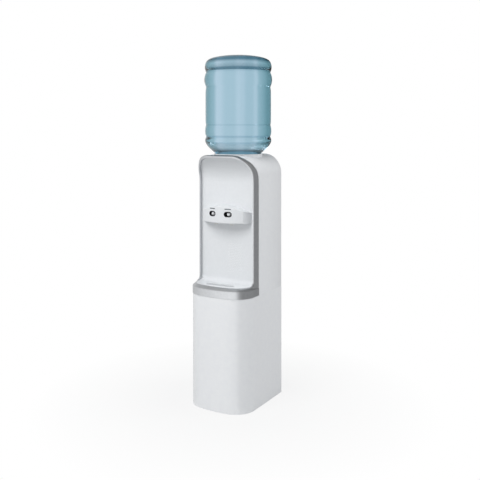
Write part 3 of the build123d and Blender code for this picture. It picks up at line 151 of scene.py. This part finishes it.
room = bpy.data.worlds.new("white_room")
scene.world = room
room.use_nodes = True
room_tree = room.node_tree
room_tree.nodes.clear()
room_place = add_node(room_tree, "ShaderNodeTexCoord").outputs["Generated"]
room_height = add_node(room_tree, "ShaderNodeSeparateXYZ", None, {0: room_place})
room_rays = add_node(room_tree, "ShaderNodeLightPath")
white = hex_colour("FFFFFF")
plain_light = {"Color": hex_colour("F4F7FA"), "Strength": 0.52}
room_light = add_node(room_tree, "ShaderNodeBackground", plain_light)
room_seen = add_node(room_tree, "ShaderNodeBackground", {"Color": white, "Strength": 1.0})
# The ceiling is dimmer than the walls, most of all as seen through the bottle.
room_mirrored = add_node(
    room_tree,
    "ShaderNodeBackground",
    None,
    {
        "Color": round_levels(room_tree, room_place, mirrored),
        "Strength": map_range(room_tree, room_height.outputs["Z"], 0.3, 0.8, 1.0, 0.6),
    },
)
room_through = add_node(
    room_tree,
    "ShaderNodeBackground",
    None,
    {
        "Color": round_levels(room_tree, room_place, through, through_hue),
        "Strength": map_range(room_tree, room_height.outputs["Z"], 0.3, 0.6, 1.0, 0.2),
    },
)
# A ray through the bottle counts as glossy too, so glossy comes before transmission.
room_mix = mix_rays(
    room_tree,
    room_light.outputs[0],
    (
        (room_rays.outputs["Is Glossy Ray"], room_mirrored),
        (room_rays.outputs["Is Transmission Ray"], room_through),
        (room_rays.outputs["Is Camera Ray"], room_seen),
    ),
)
add_node(room_tree, "ShaderNodeOutputWorld", None, {"Surface": room_mix})

lamp_target = (0, 0, 0.7)
for name, place, power, size in (
    ("key_lamp", (-0.5, -2.5, 2.9), 66, 1.9),
    ("side_lamp", (2.5, 1.2, 1.9), 32, 1.6),
):
    bpy.ops.object.light_add(type="AREA", location=place)
    lamp = bpy.context.object
    lamp.name = name
    lamp.data.energy = power
    lamp.data.size = size
    lamp.visible_glossy = False
    aim = Vector(lamp_target) - Vector(place)
    lamp.rotation_euler = aim.to_track_quat("-Z", "Y").to_euler()

bpy.ops.mesh.primitive_plane_add(size=14, location=(0, 0, 0))
floor = bpy.context.object
floor.name = "studio_floor"
paper = bpy.data.materials.new("white_background_paper")
paper.use_nodes = True
paper_tree = paper.node_tree
paper_tree.nodes.clear()
paper_place = add_node(paper_tree, "ShaderNodeTexCoord").outputs["Object"]
paper_rays = add_node(paper_tree, "ShaderNodeLightPath")
paper_shade = add_node(paper_tree, "ShaderNodeBsdfDiffuse", {"Color": hex_colour("CDCDCD")})
paper_seen = add_node(paper_tree, "ShaderNodeEmission", {"Color": white, "Strength": 1.0})
mirrored_light = round_levels(paper_tree, paper_place, mirrored)
paper_mirrored = add_node(paper_tree, "ShaderNodeEmission", None, {"Color": mirrored_light})
through_light = round_levels(paper_tree, paper_place, through, through_hue)
paper_through = add_node(paper_tree, "ShaderNodeEmission", None, {"Color": through_light})
# The camera sees the paper glow white away from the cooler, and its shadow close by.
paper_reach = add_node(
    paper_tree, "ShaderNodeVectorMath", {"operation": "LENGTH"}, {0: paper_place}
)
paper_glow = map_range(paper_tree, paper_reach.outputs["Value"], 0.25, 0.8, 0.85, 1.0)
paper_share = add_node(
    paper_tree,
    "ShaderNodeMath",
    {"operation": "MULTIPLY"},
    {0: paper_rays.outputs["Is Camera Ray"], 1: paper_glow},
)
paper_mix = mix_rays(
    paper_tree,
    paper_shade.outputs[0],
    (
        (paper_rays.outputs["Is Glossy Ray"], paper_mirrored),
        (paper_rays.outputs["Is Transmission Ray"], paper_through),
        (paper_share.outputs[0], paper_seen),
    ),
)
add_node(paper_tree, "ShaderNodeOutputMaterial", None, {"Surface": paper_mix})
floor.data.materials.append(paper)


# ------------------------------------------------------------------ white shell and lower front
# Folded and pressed sheet steel, 2.5 mm, powder coated in a smooth white with a soft gloss
# and a fine orange peel. The same coat is on the rear panel, which is dressed here.
def new_material(name):
    """A new node material, its tree and its principled shader."""
    material = bpy.data.materials.new(name)
    material.use_nodes = True
    tree = material.node_tree
    shader = tree.nodes["Principled BSDF"]
    return material, tree, shader


def mottle(tree, size, low, high, stretch=(1, 1, 1)):
    """Soft noise on the piece's own coordinates, with its coarsest grain size metres wide,
    turned into a number between low and high."""
    place = add_node(tree, "ShaderNodeTexCoord").outputs["Object"]
    spread = add_node(tree, "ShaderNodeMapping", {"Scale": stretch}, {"Vector": place})
    noise = add_node(
        tree,
        "ShaderNodeTexNoise",
        {"Scale": 1 / size, "Detail": 3.0, "Roughness": 0.55},
        {"Vector": spread.outputs[0]},
    )
    return map_range(tree, noise.outputs["Fac"], 0.3, 0.7, low, high)


def grain(tree, shader, size, height, stretch=(1, 1, 1)):
    """Relief of the surface: grain size and height in metres."""
    relief = {"Height": mottle(tree, size, 0.0, 1.0, stretch)}
    bump = add_node(tree, "ShaderNodeBump", {"Strength": 0.6, "Distance": height}, relief)
    tree.links.new(bump.outputs[0], shader.inputs["Normal"])


def tint(tree, shader, size, pale, dark, stretch=(1, 1, 1)):
    """Colour that drifts between two near shades over the surface."""
    share = {"Factor": mottle(tree, size, 0.0, 1.0, stretch)}
    blend = add_node(tree, "ShaderNodeMix", {"data_type": "RGBA"}, share)
    # A mix node's colour sockets are inputs 6 and 7 and output 2.
    blend.inputs[6].default_value = hex_colour(pale)
    blend.inputs[7].default_value = hex_colour(dark)
    tree.links.new(blend.outputs[2], shader.inputs["Base Color"])


def finish(name, shades, gloss, relief, metal=0.0, ior=1.5, stretch=(1, 1, 1)):
    """A maker's finish: a pale and a dark shade, a range of roughness, and a relief given by
    its grain's size and height. The shade drifts over 12 grains and the gloss over 6. A grain
    finer than 0.8 mm would not show in the render, so finer ones are drawn at 0.8 or 0.9 mm."""
    material, tree, shader = new_material(name)
    shader.inputs["Metallic"].default_value = metal
    shader.inputs["IOR"].default_value = ior
    grain_size, grain_height = relief
    tint(tree, shader, grain_size * 12, *shades, stretch)
    tree.links.new(mottle(tree, grain_size * 6, *gloss, stretch), shader.inputs["Roughness"])
    grain(tree, shader, grain_size, grain_height, stretch)
    return material


def dress(material, *nodes):
    """Gives carried-over pieces their finish."""
    for name in nodes:
        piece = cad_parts[name]
        piece.data.materials.clear()
        piece.data.materials.append(material)


white_powder_coat = finish(
    "white_powder_coat", ("F1F2F3", "EEEFF1"), (0.16, 0.22), (0.0016, 0.00001), ior=1.75
)
dress(white_powder_coat, "rear_panel")

# ------------------------------------------------------------------ satin trim loop
# Injection moulded ABS with a satin silver lacquer, clipped round the alcove. Its section is
# a quarter ellipse, deep at the back and thin at the front, and it leans forward with the hood.
half_width = 0.132
crown = 0.972
seam_y = -0.0431
trim_width = 0.012
trim_depth = 0.027
arch_radius = 0.077
arch_x = half_width - arch_radius
arch_z = crown - arch_radius
hood_start = 0.866
hood_radius = 0.109
hood_lean = radians(51)
band_shoulder = 0.461
band_top = 0.472
foot_sweep = 0.018
foot_top = band_top + foot_sweep


def hood_shift(height):
    """How far the front is moved at a height, where it leans forward as a hood."""
    knee = hood_start + hood_radius * sin(hood_lean)
    if height < hood_start:
        return 0.0
    if height < knee:
        return sqrt(hood_radius**2 - (height - hood_start) ** 2) - hood_radius
    return -hood_radius * (1 - cos(hood_lean)) - (height - knee) * tan(hood_lean)


def foot_reach(height):
    """How far forward a bar's front runs as it turns into the ledge band."""
    drop = min(max(foot_top - height, 0.0), foot_sweep)
    return foot_sweep - sqrt(foot_sweep**2 - drop**2)


def add_section(name, corners):
    """A face laid on the corners of a section, ready to be drawn along its run."""
    bpy.ops.object.select_all(action="DESELECT")
    bpy.ops.mesh.primitive_circle_add(vertices=len(corners), radius=0.01, fill_type="NGON")
    piece = bpy.context.object
    piece.name = name
    for vertex, corner in zip(piece.data.vertices, corners):
        vertex.co = corner
    bpy.ops.object.mode_set(mode="EDIT")
    bpy.ops.mesh.select_all(action="SELECT")
    return piece


def draw_straight(run, steps=1):
    """Draws the selected end of a section straight on."""
    step = Vector(run) / steps
    for _ in range(steps):
        bpy.ops.mesh.extrude_region_move(TRANSFORM_OT_translate={"value": step})


def draw_round(centre, axis, angle, steps):
    """Draws the selected end of a section round a centre."""
    bpy.ops.mesh.spin(steps=steps, angle=-angle, center=centre, axis=axis)


def close_piece(piece, smooth=35):
    """Leaves edit mode with doubles merged, faces outward and soft shading below an angle."""
    bpy.ops.mesh.select_all(action="SELECT")
    bpy.ops.mesh.remove_doubles(threshold=0.00002)
    bpy.ops.mesh.normals_make_consistent(inside=False)
    bpy.ops.object.mode_set(mode="OBJECT")
    bpy.ops.object.shade_smooth_by_angle(angle=radians(smooth))


right_angle = radians(90)
trim_inside = half_width - trim_width
arc_steps = 12
bar_corners = [(trim_inside, seam_y, band_shoulder)]
for i in range(arc_steps + 1):
    turn = right_angle * i / arc_steps
    across = trim_inside + trim_width * sin(turn)
    bar_corners.append((across, seam_y - trim_depth * cos(turn), band_shoulder))
trim_loop = add_section("trim_loop", bar_corners)
draw_straight((0, 0, band_top - band_shoulder))
draw_straight((0, 0, foot_sweep), 9)
draw_straight((0, 0, hood_start - foot_top))
draw_straight((0, 0, arch_z - hood_start), 6)
draw_round((arch_x, seam_y, arch_z), (0, 1, 0), -right_angle, 28)
draw_straight((-2 * arch_x, 0, 0), 4)
draw_round((-arch_x, seam_y, arch_z), (0, 1, 0), -right_angle, 28)
draw_straight((0, 0, hood_start - arch_z), 6)
draw_straight((0, 0, foot_top - hood_start))
draw_straight((0, 0, -foot_sweep), 9)
draw_straight((0, 0, band_shoulder - band_top))
close_piece(trim_loop, 50)
for vertex in trim_loop.data.vertices:
    spot = vertex.co
    swell = 1 + foot_reach(spot.z) / trim_depth
    spot.y = seam_y + (spot.y - seam_y) * swell + hood_shift(spot.z)
satin_silver = finish(
    "satin_silver_lacquer", ("D1D3D5", "C9CBCE"), (0.3, 0.38), (0.0008, 0.000006), metal=0.9
)
trim_loop.data.materials.append(satin_silver)
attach(trim_loop, "cabinet")
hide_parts("trim_frame")

# ------------------------------------------------------------------ ledge band
# The same silver ABS moulding carries on round the front as a proud band. Its top slopes up
# to the drip tray's seat, and it is open underneath, where it hooks over the lower front.
ledge_y = -0.1631
front_bow = 0.0195
front_corner = 0.081
tray_back = -0.0811
band_bottom = 0.433
bow_radius = (half_width**2 + front_bow**2) / (2 * front_bow)
bow_centre = ledge_y + bow_radius
corner_x = half_width - front_corner
corner_y = bow_centre - sqrt((bow_radius - front_corner) ** 2 - corner_x**2)
corner_turn = atan2(corner_y - bow_centre, corner_x)


def draw_round_front(back):
    """Draws a section from the right side at back, round the bowed front, to the left side."""
    draw_straight((0, corner_y - back, 0))
    draw_round((corner_x, corner_y, 0), (0, 0, 1), corner_turn, 20)
    draw_round((0, bow_centre, 0), (0, 0, 1), -pi - 2 * corner_turn, 14)
    draw_round((-corner_x, corner_y, 0), (0, 0, 1), corner_turn, 20)
    draw_straight((0, back - corner_y, 0))


def cut_out(piece, cutter):
    """Cuts the cutter's shape out of a piece and throws the cutter away."""
    bpy.ops.object.select_all(action="DESELECT")
    bpy.context.view_layer.objects.active = piece
    piece.select_set(True)
    cut = piece.modifiers.new("cut", "BOOLEAN")
    cut.object = cutter
    bpy.ops.object.modifier_apply(modifier="cut")
    bpy.data.objects.remove(cutter)


def front_section(name, back, insets_heights):
    """A section of the front, given as insets from the side and heights, at depth back."""
    corners = [(half_width - inset, back, height) for inset, height in insets_heights]
    return add_section(name, corners)


band_proud = 0.0017
band_hook = 0.0007
band_lip = 0.013
seat_inset = 0.019
seat_top = 0.466
band_under = 0.4585
ledge_band = front_section(
    "ledge_band",
    seam_y,
    [
        (-band_proud, band_bottom),
        (-band_proud, band_shoulder - 0.0012),
        (0.0003 - band_proud, band_shoulder - 0.0002),
        (0.0011 - band_proud, band_shoulder + 0.0008),
        (band_lip - 0.0008, band_top - 0.0002),
        (band_lip - 0.0002, band_top - 0.0001),
        (band_lip, band_top - 0.0006),
        (band_lip, seat_top),
        (seat_inset, seat_top),
        (seat_inset, band_under),
        (band_hook, band_under),
        (band_hook, band_bottom),
    ],
)
draw_round_front(seam_y)
close_piece(ledge_band, 30)
deck_depth = 0.1
cut_height = 0.08
deck_place = (0, tray_back + deck_depth / 2, band_shoulder)
bpy.ops.mesh.primitive_cube_add(size=1, location=deck_place)
deck_cutter = bpy.context.object
deck_cutter.dimensions = (2 * trim_inside, deck_depth, cut_height)
cut_out(ledge_band, deck_cutter)
ledge_band.data.materials.append(satin_silver)
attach(ledge_band, "cabinet")
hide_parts("trim_frame")

# ------------------------------------------------------------------ cabinet shell
# The lower front and the wrap, welded and coated as one skin with no seam between them. The
# wrap is bent over two round upper corners, and its front edge follows the trim's lean.
sheet = 0.0025
shell_bottom = 0.001
rear_y = 0.1469
lower_skin = front_section(
    "lower_skin",
    rear_y,
    [(0, shell_bottom), (0, band_bottom), (sheet, band_bottom), (sheet, shell_bottom)],
)
draw_round_front(rear_y)
close_piece(lower_skin, 35)
lower_skin.data.materials.append(white_powder_coat)
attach(lower_skin, "cabinet")
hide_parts("lower_front", "cabinet_wrap")

# The section runs from the front edge along the outside to the rear, where the flange that
# carries the rear panel turns in. Each outer edge has a small round.
edge_turns = [radians(angle) for angle in (0, 30, 60, 90)]
edge_round = 0.0015
round_x = half_width - edge_round
flange_front = rear_y - 0.0026
flange_back = rear_y - 0.0014
flange_inset = 0.0145
wrap_outline = [(half_width - sheet, seam_y)]
for turn in edge_turns:
    y = seam_y + edge_round - edge_round * cos(turn)
    wrap_outline.append((round_x + edge_round * sin(turn), y))
for turn in edge_turns:
    y = rear_y - edge_round + edge_round * sin(turn)
    wrap_outline.append((round_x + edge_round * cos(turn), y))
wrap_outline += [
    (half_width - sheet, rear_y),
    (half_width - sheet, flange_back),
    (half_width - flange_inset, flange_back),
    (half_width - flange_inset, flange_front),
    (half_width - sheet, flange_front),
]
wrap_skin = add_section("wrap_skin", [(x, y, band_bottom) for x, y in wrap_outline])
draw_straight((0, 0, hood_start - band_bottom))
draw_straight((0, 0, arch_z - hood_start), 6)
draw_round((arch_x, 0, arch_z), (0, 1, 0), -right_angle, 36)
draw_straight((-2 * arch_x, 0, 0), 2)
draw_round((-arch_x, 0, arch_z), (0, 1, 0), -right_angle, 36)
draw_straight((0, 0, hood_start - arch_z), 6)
draw_straight((0, 0, band_bottom - hood_start))
close_piece(wrap_skin, 40)
for vertex in wrap_skin.data.vertices:
    if vertex.co.y < seam_y + 2 * edge_round:
        vertex.co.y += hood_shift(vertex.co.z)
bottle_y = 0.0244
seat_opening = 0.093
bpy.ops.mesh.primitive_cylinder_add(
    vertices=96, radius=seat_opening, depth=cut_height, location=(0, bottle_y, crown)
)
seat_cutter = bpy.context.object
cut_out(wrap_skin, seat_cutter)
wrap_skin.data.materials.append(white_powder_coat)
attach(wrap_skin, "cabinet")
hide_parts("cabinet_wrap")

# ------------------------------------------------------------------ white mouldings
# Injection moulded ABS, white, with a light spark-eroded texture: the recessed front panel,
# the tap housing and its floor, the drip tray, its grille, the bottle's seat and the baffle.
# Its white is a touch darker than the coated shell's, partly the moulding's own tone and partly
# painted shade for the pieces down in the alcove.
white_abs_and_alcove_shade = finish("white_moulded_abs_and_alcove_shade", ("E9EBED", "E6E8EA"), (0.32, 0.4), (0.0009, 0.000015))
dress(
    white_abs_and_alcove_shade,
    "recess_panel",
    "tap_housing",
    "housing_floor",
    "drip_tray",
    "drip_grille",
    "bottle_seat",
    "cold_baffle",
)

# ------------------------------------------------------------------ panel studs
# Small round studs moulded on the recessed panel below the taps, in two staggered lattices,
# where a cup's splash would run. Same white ABS as the panel, slightly glossier on top.
stud_height = 0.0007
stud_root = 0.0006
panel_y = -0.0571
bpy.ops.mesh.primitive_cylinder_add(
    vertices=12,
    radius=0.0016,
    depth=stud_height + stud_root,
    location=(0.006, panel_y - (stud_height - stud_root) / 2, 0.515),
    rotation=(right_angle, 0, 0),
)
studs = bpy.context.object
studs.name = "panel_studs"
bpy.ops.object.mode_set(mode="EDIT")
bpy.ops.mesh.select_mode(type="EDGE")
bpy.ops.mesh.select_all(action="SELECT")
bpy.ops.mesh.bevel(offset=0.0003, segments=1)
bpy.ops.object.mode_set(mode="OBJECT")
bpy.ops.object.transform_apply(location=True, rotation=True, scale=True)
for name, count, step in (
    ("across", 7, (0.0092, 0, 0)),
    ("up", 9, (0, 0, 0.0128)),
    ("staggered", 2, (0.0046, 0, 0.0064)),
):
    lattice = studs.modifiers.new(name, "ARRAY")
    lattice.count = count
    lattice.use_relative_offset = False
    lattice.use_constant_offset = True
    lattice.constant_offset_displace = step
    bpy.ops.object.modifier_apply(modifier=name)
bpy.ops.object.mode_set(mode="EDIT")
close_piece(studs, 30)
polished_abs = finish(
    "polished_white_abs", ("F4F5F6", "F1F2F3"), (0.18, 0.24), (0.0009, 0.000004)
)
studs.data.materials.append(polished_abs)
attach(studs, "cabinet")

# ------------------------------------------------------------------ bottle
# Blow moulded polycarbonate, clear blue, with pressed-in grooves between its rings. It stands on
# its neck, so its foot is on top. One solid stands for the wall and the water that fills it.
bottle_profile = [
    (0.0270, 0.8800),
    (0.0270, 0.9000),
    (0.0270, 0.9180),
    (0.0300, 0.9215),
    (0.0880, 0.9720),
    (0.1000, 0.9825),
    (0.1180, 0.9985),
    (0.1265, 1.0090),
    (0.1325, 1.0200),
    (0.1338, 1.0275),
    (0.1325, 1.0350),
    (0.1297, 1.0405),
    (0.1290, 1.0430),
    (0.1297, 1.0455),
    (0.1325, 1.0520),
    (0.1338, 1.0660),
    (0.1325, 1.0800),
    (0.1303, 1.0870),
    (0.1297, 1.0895),
    (0.1303, 1.0925),
    (0.1317, 1.0985),
    (0.1320, 1.1200),
    (0.1320, 1.2050),
    (0.1317, 1.2300),
    (0.1303, 1.2370),
    (0.1295, 1.2405),
    (0.1305, 1.2445),
    (0.1345, 1.2530),
    (0.1368, 1.2670),
    (0.1368, 1.2760),
    (0.1345, 1.2890),
    (0.1308, 1.2965),
    (0.1298, 1.3000),
    (0.1308, 1.3040),
    (0.1340, 1.3110),
    (0.1350, 1.3200),
    (0.1340, 1.3320),
    (0.1295, 1.3430),
    (0.1240, 1.3495),
    (0.1130, 1.3555),
    (0.0980, 1.3597),
    (0.0800, 1.3630),
    (0.0620, 1.3657),
    (0.0560, 1.3656),
    (0.0520, 1.3625),
    (0.0490, 1.3610),
    (0.0300, 1.3608),
    (0.0060, 1.3608),
    (0.0000, 1.3608),
    (0.0000, 0.8800),
]
bottle_corners = [(radius, bottle_y, height) for radius, height in bottle_profile]
bottle_shell = add_section("bottle_shell", bottle_corners)
bpy.ops.mesh.delete(type="ONLY_FACE")
bpy.ops.mesh.select_all(action="SELECT")
draw_round((0, bottle_y, 0), (0, 0, 1), 2 * pi, 48)
close_piece(bottle_shell, 60)
rounding = bottle_shell.modifiers.new("blown_rounding", "SUBSURF")
rounding.levels = 2
rounding.render_levels = 2
bpy.ops.object.modifier_apply(modifier="blown_rounding")
blue_polycarbonate, blue_tree, blue_shader = new_material("clear_blue_polycarbonate")
blue_shader.inputs["Transmission Weight"].default_value = 1.0
blue_shader.inputs["IOR"].default_value = 1.36
blue_place = add_node(blue_tree, "ShaderNodeTexCoord").outputs["Object"]
blue_height = add_node(blue_tree, "ShaderNodeSeparateXYZ", None, {0: blue_place}).outputs["Z"]
# The moulded colour by height, with painted shade in it: darker towards the neck, where the
# cooler's dark well shows through, in the grooves, and at the foot.
tint_bottom = 0.96
tint_top = 1.366
blue_and_painted_shade_stops = []
for height, colour in (
    (tint_bottom, "2F5A70"),
    (0.985, "446F85"),
    (1.0, "ACC9DA"),
    (1.036, "ACC9DA"),
    (1.043, "7FA2B8"),
    (1.050, "ACC9DA"),
    (1.084, "ACC9DA"),
    (1.089, "96B6C8"),
    (1.094, "ACC9DA"),
    (1.294, "ACC9DA"),
    (1.300, "98B8CA"),
    (1.306, "ACC9DA"),
    (1.330, "ACC9DA"),
    (1.343, "2E5468"),
    (tint_top, "16384A"),
):
    share = (height - tint_bottom) / (tint_top - tint_bottom)
    blue_and_painted_shade_stops.append((share, hex_colour(colour)))
# The darker bands of this ramp are painted shade; the pale blue between them is the bottle's own
# colour.
blue_share = map_range(blue_tree, blue_height, tint_bottom, tint_top)
blue_and_painted_shade = colour_ramp(blue_tree, blue_share, blue_and_painted_shade_stops)
blue_tree.links.new(blue_and_painted_shade, blue_shader.inputs["Base Color"])
# Blown polycarbonate has long shallow waves, which these follow at about 30 mm.
grain(blue_tree, blue_shader, 0.03, 0.0002)
blue_tree.links.new(mottle(blue_tree, 0.05, 0.01, 0.04), blue_shader.inputs["Roughness"])
bottle_shell.data.materials.append(blue_polycarbonate)
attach(bottle_shell, "bottle")
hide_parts("bottle")
blue_polyethylene = finish(
    "blue_moulded_polyethylene", ("5C92BC", "4F86B2"), (0.4, 0.5), (0.0009, 0.00002)
)
dress(blue_polyethylene, "bottle_cap")

# ------------------------------------------------------------------ taps, buttons and controls
# Buttons of glossy white ABS in bezels of black moulded ABS, grey polycarbonate lenses and
# acetal tap bodies. The switch frame, mains inlet, relay box and thermostat are black ABS too.
glossy_white_abs = finish(
    "glossy_white_abs", ("F2F4F6", "EEF0F2"), (0.06, 0.12), (0.0009, 0.000004)
)
dress(glossy_white_abs, "cold_button", "hot_button")
black_abs = finish("black_moulded_abs", ("1A1B1D", "222326"), (0.22, 0.32), (0.0008, 0.00001))
dress(black_abs, "button_bezels", "switch_frame", "power_inlet", "relay_box")
dress(black_abs, "thermostat_body", "thermostat_knob")
grey_lens = finish(
    "grey_lens_polycarbonate", ("7C8186", "70757A"), (0.1, 0.18), (0.0008, 0.000004)
)
dress(grey_lens, "indicator_lenses")
white_acetal = finish("white_acetal", ("E6E6E2", "DEDEDA"), (0.35, 0.45), (0.0009, 0.00001))
dress(white_acetal, "cold_tap_body", "hot_tap_body", "tap_nuts")
blue_abs = finish("blue_rocker_abs", ("2F63A8", "2A5A9C"), (0.25, 0.35), (0.0008, 0.00001))
dress(blue_abs, "cold_rocker")
red_abs = finish("red_rocker_abs", ("B5302B", "A82A26"), (0.25, 0.35), (0.0008, 0.00001))
dress(red_abs, "hot_rocker")
polypropylene = finish(
    "natural_polypropylene", ("DDE3E6", "D3DADE"), (0.3, 0.4), (0.0009, 0.00001)
)
dress(polypropylene, "water_probe")

# ------------------------------------------------------------------ tanks, refrigeration and base
# Deep drawn stainless tanks, galvanised sheet and fasteners, copper pipe, black enamelled pot
# and condenser, silicone hoses, grommets and feet, and polyurethane foam halves.
stainless = finish(
    "drawn_stainless_steel",
    ("C9CBCC", "BDBFC1"),
    (0.2, 0.32),
    (0.0008, 0.000008),
    metal=1.0,
    stretch=(1, 1, 0.1),
)
dress(stainless, "cold_tank", "hot_tank", "evaporator_sleeve", "heater_band")
zinc = finish(
    "galvanised_steel", ("B9BDBF", "A4A9AC"), (0.32, 0.5), (0.0025, 0.00001), metal=1.0
)
dress(
    zinc,
    "base_tray",
    "upper_shelf",
    "lower_shelf",
    "case_screws",
    "valve_springs",
    "compressor_bolts",
    "compressor_plate",
    "hot_limiter",
    "condenser_clips",
)
copper = finish("drawn_copper", ("C7815C", "B5714F"), (0.22, 0.36), (0.0008, 0.00001), metal=1.0)
dress(copper, "suction_pipe", "capillary_tube", "discharge_pipe", "filter_drier")
black_enamel = finish(
    "black_enamelled_steel", ("1B1C1E", "242528"), (0.25, 0.38), (0.0014, 0.00003)
)
dress(black_enamel, "compressor_pot", "condenser_tube", "condenser_wires")
grey_silicone = finish(
    "grey_silicone_rubber", ("50555A", "464B50"), (0.55, 0.7), (0.0009, 0.00002)
)
dress(grey_silicone, "feet", "tank_gasket", "compressor_grommets", "drain_cap")
hose_silicone = finish(
    "translucent_silicone_hose", ("D8DCDD", "CDD2D4"), (0.35, 0.5), (0.0009, 0.00001)
)
dress(hose_silicone, "cold_hose", "hot_hose", "feed_hose", "drain_hose", "drain_spigot")
cream_foam = finish(
    "cream_polyurethane_foam", ("E7DFC4", "D8CFB0"), (0.85, 0.95), (0.0018, 0.0003)
)
dress(cream_foam, "insulation_left", "insulation_right", "hot_jacket")
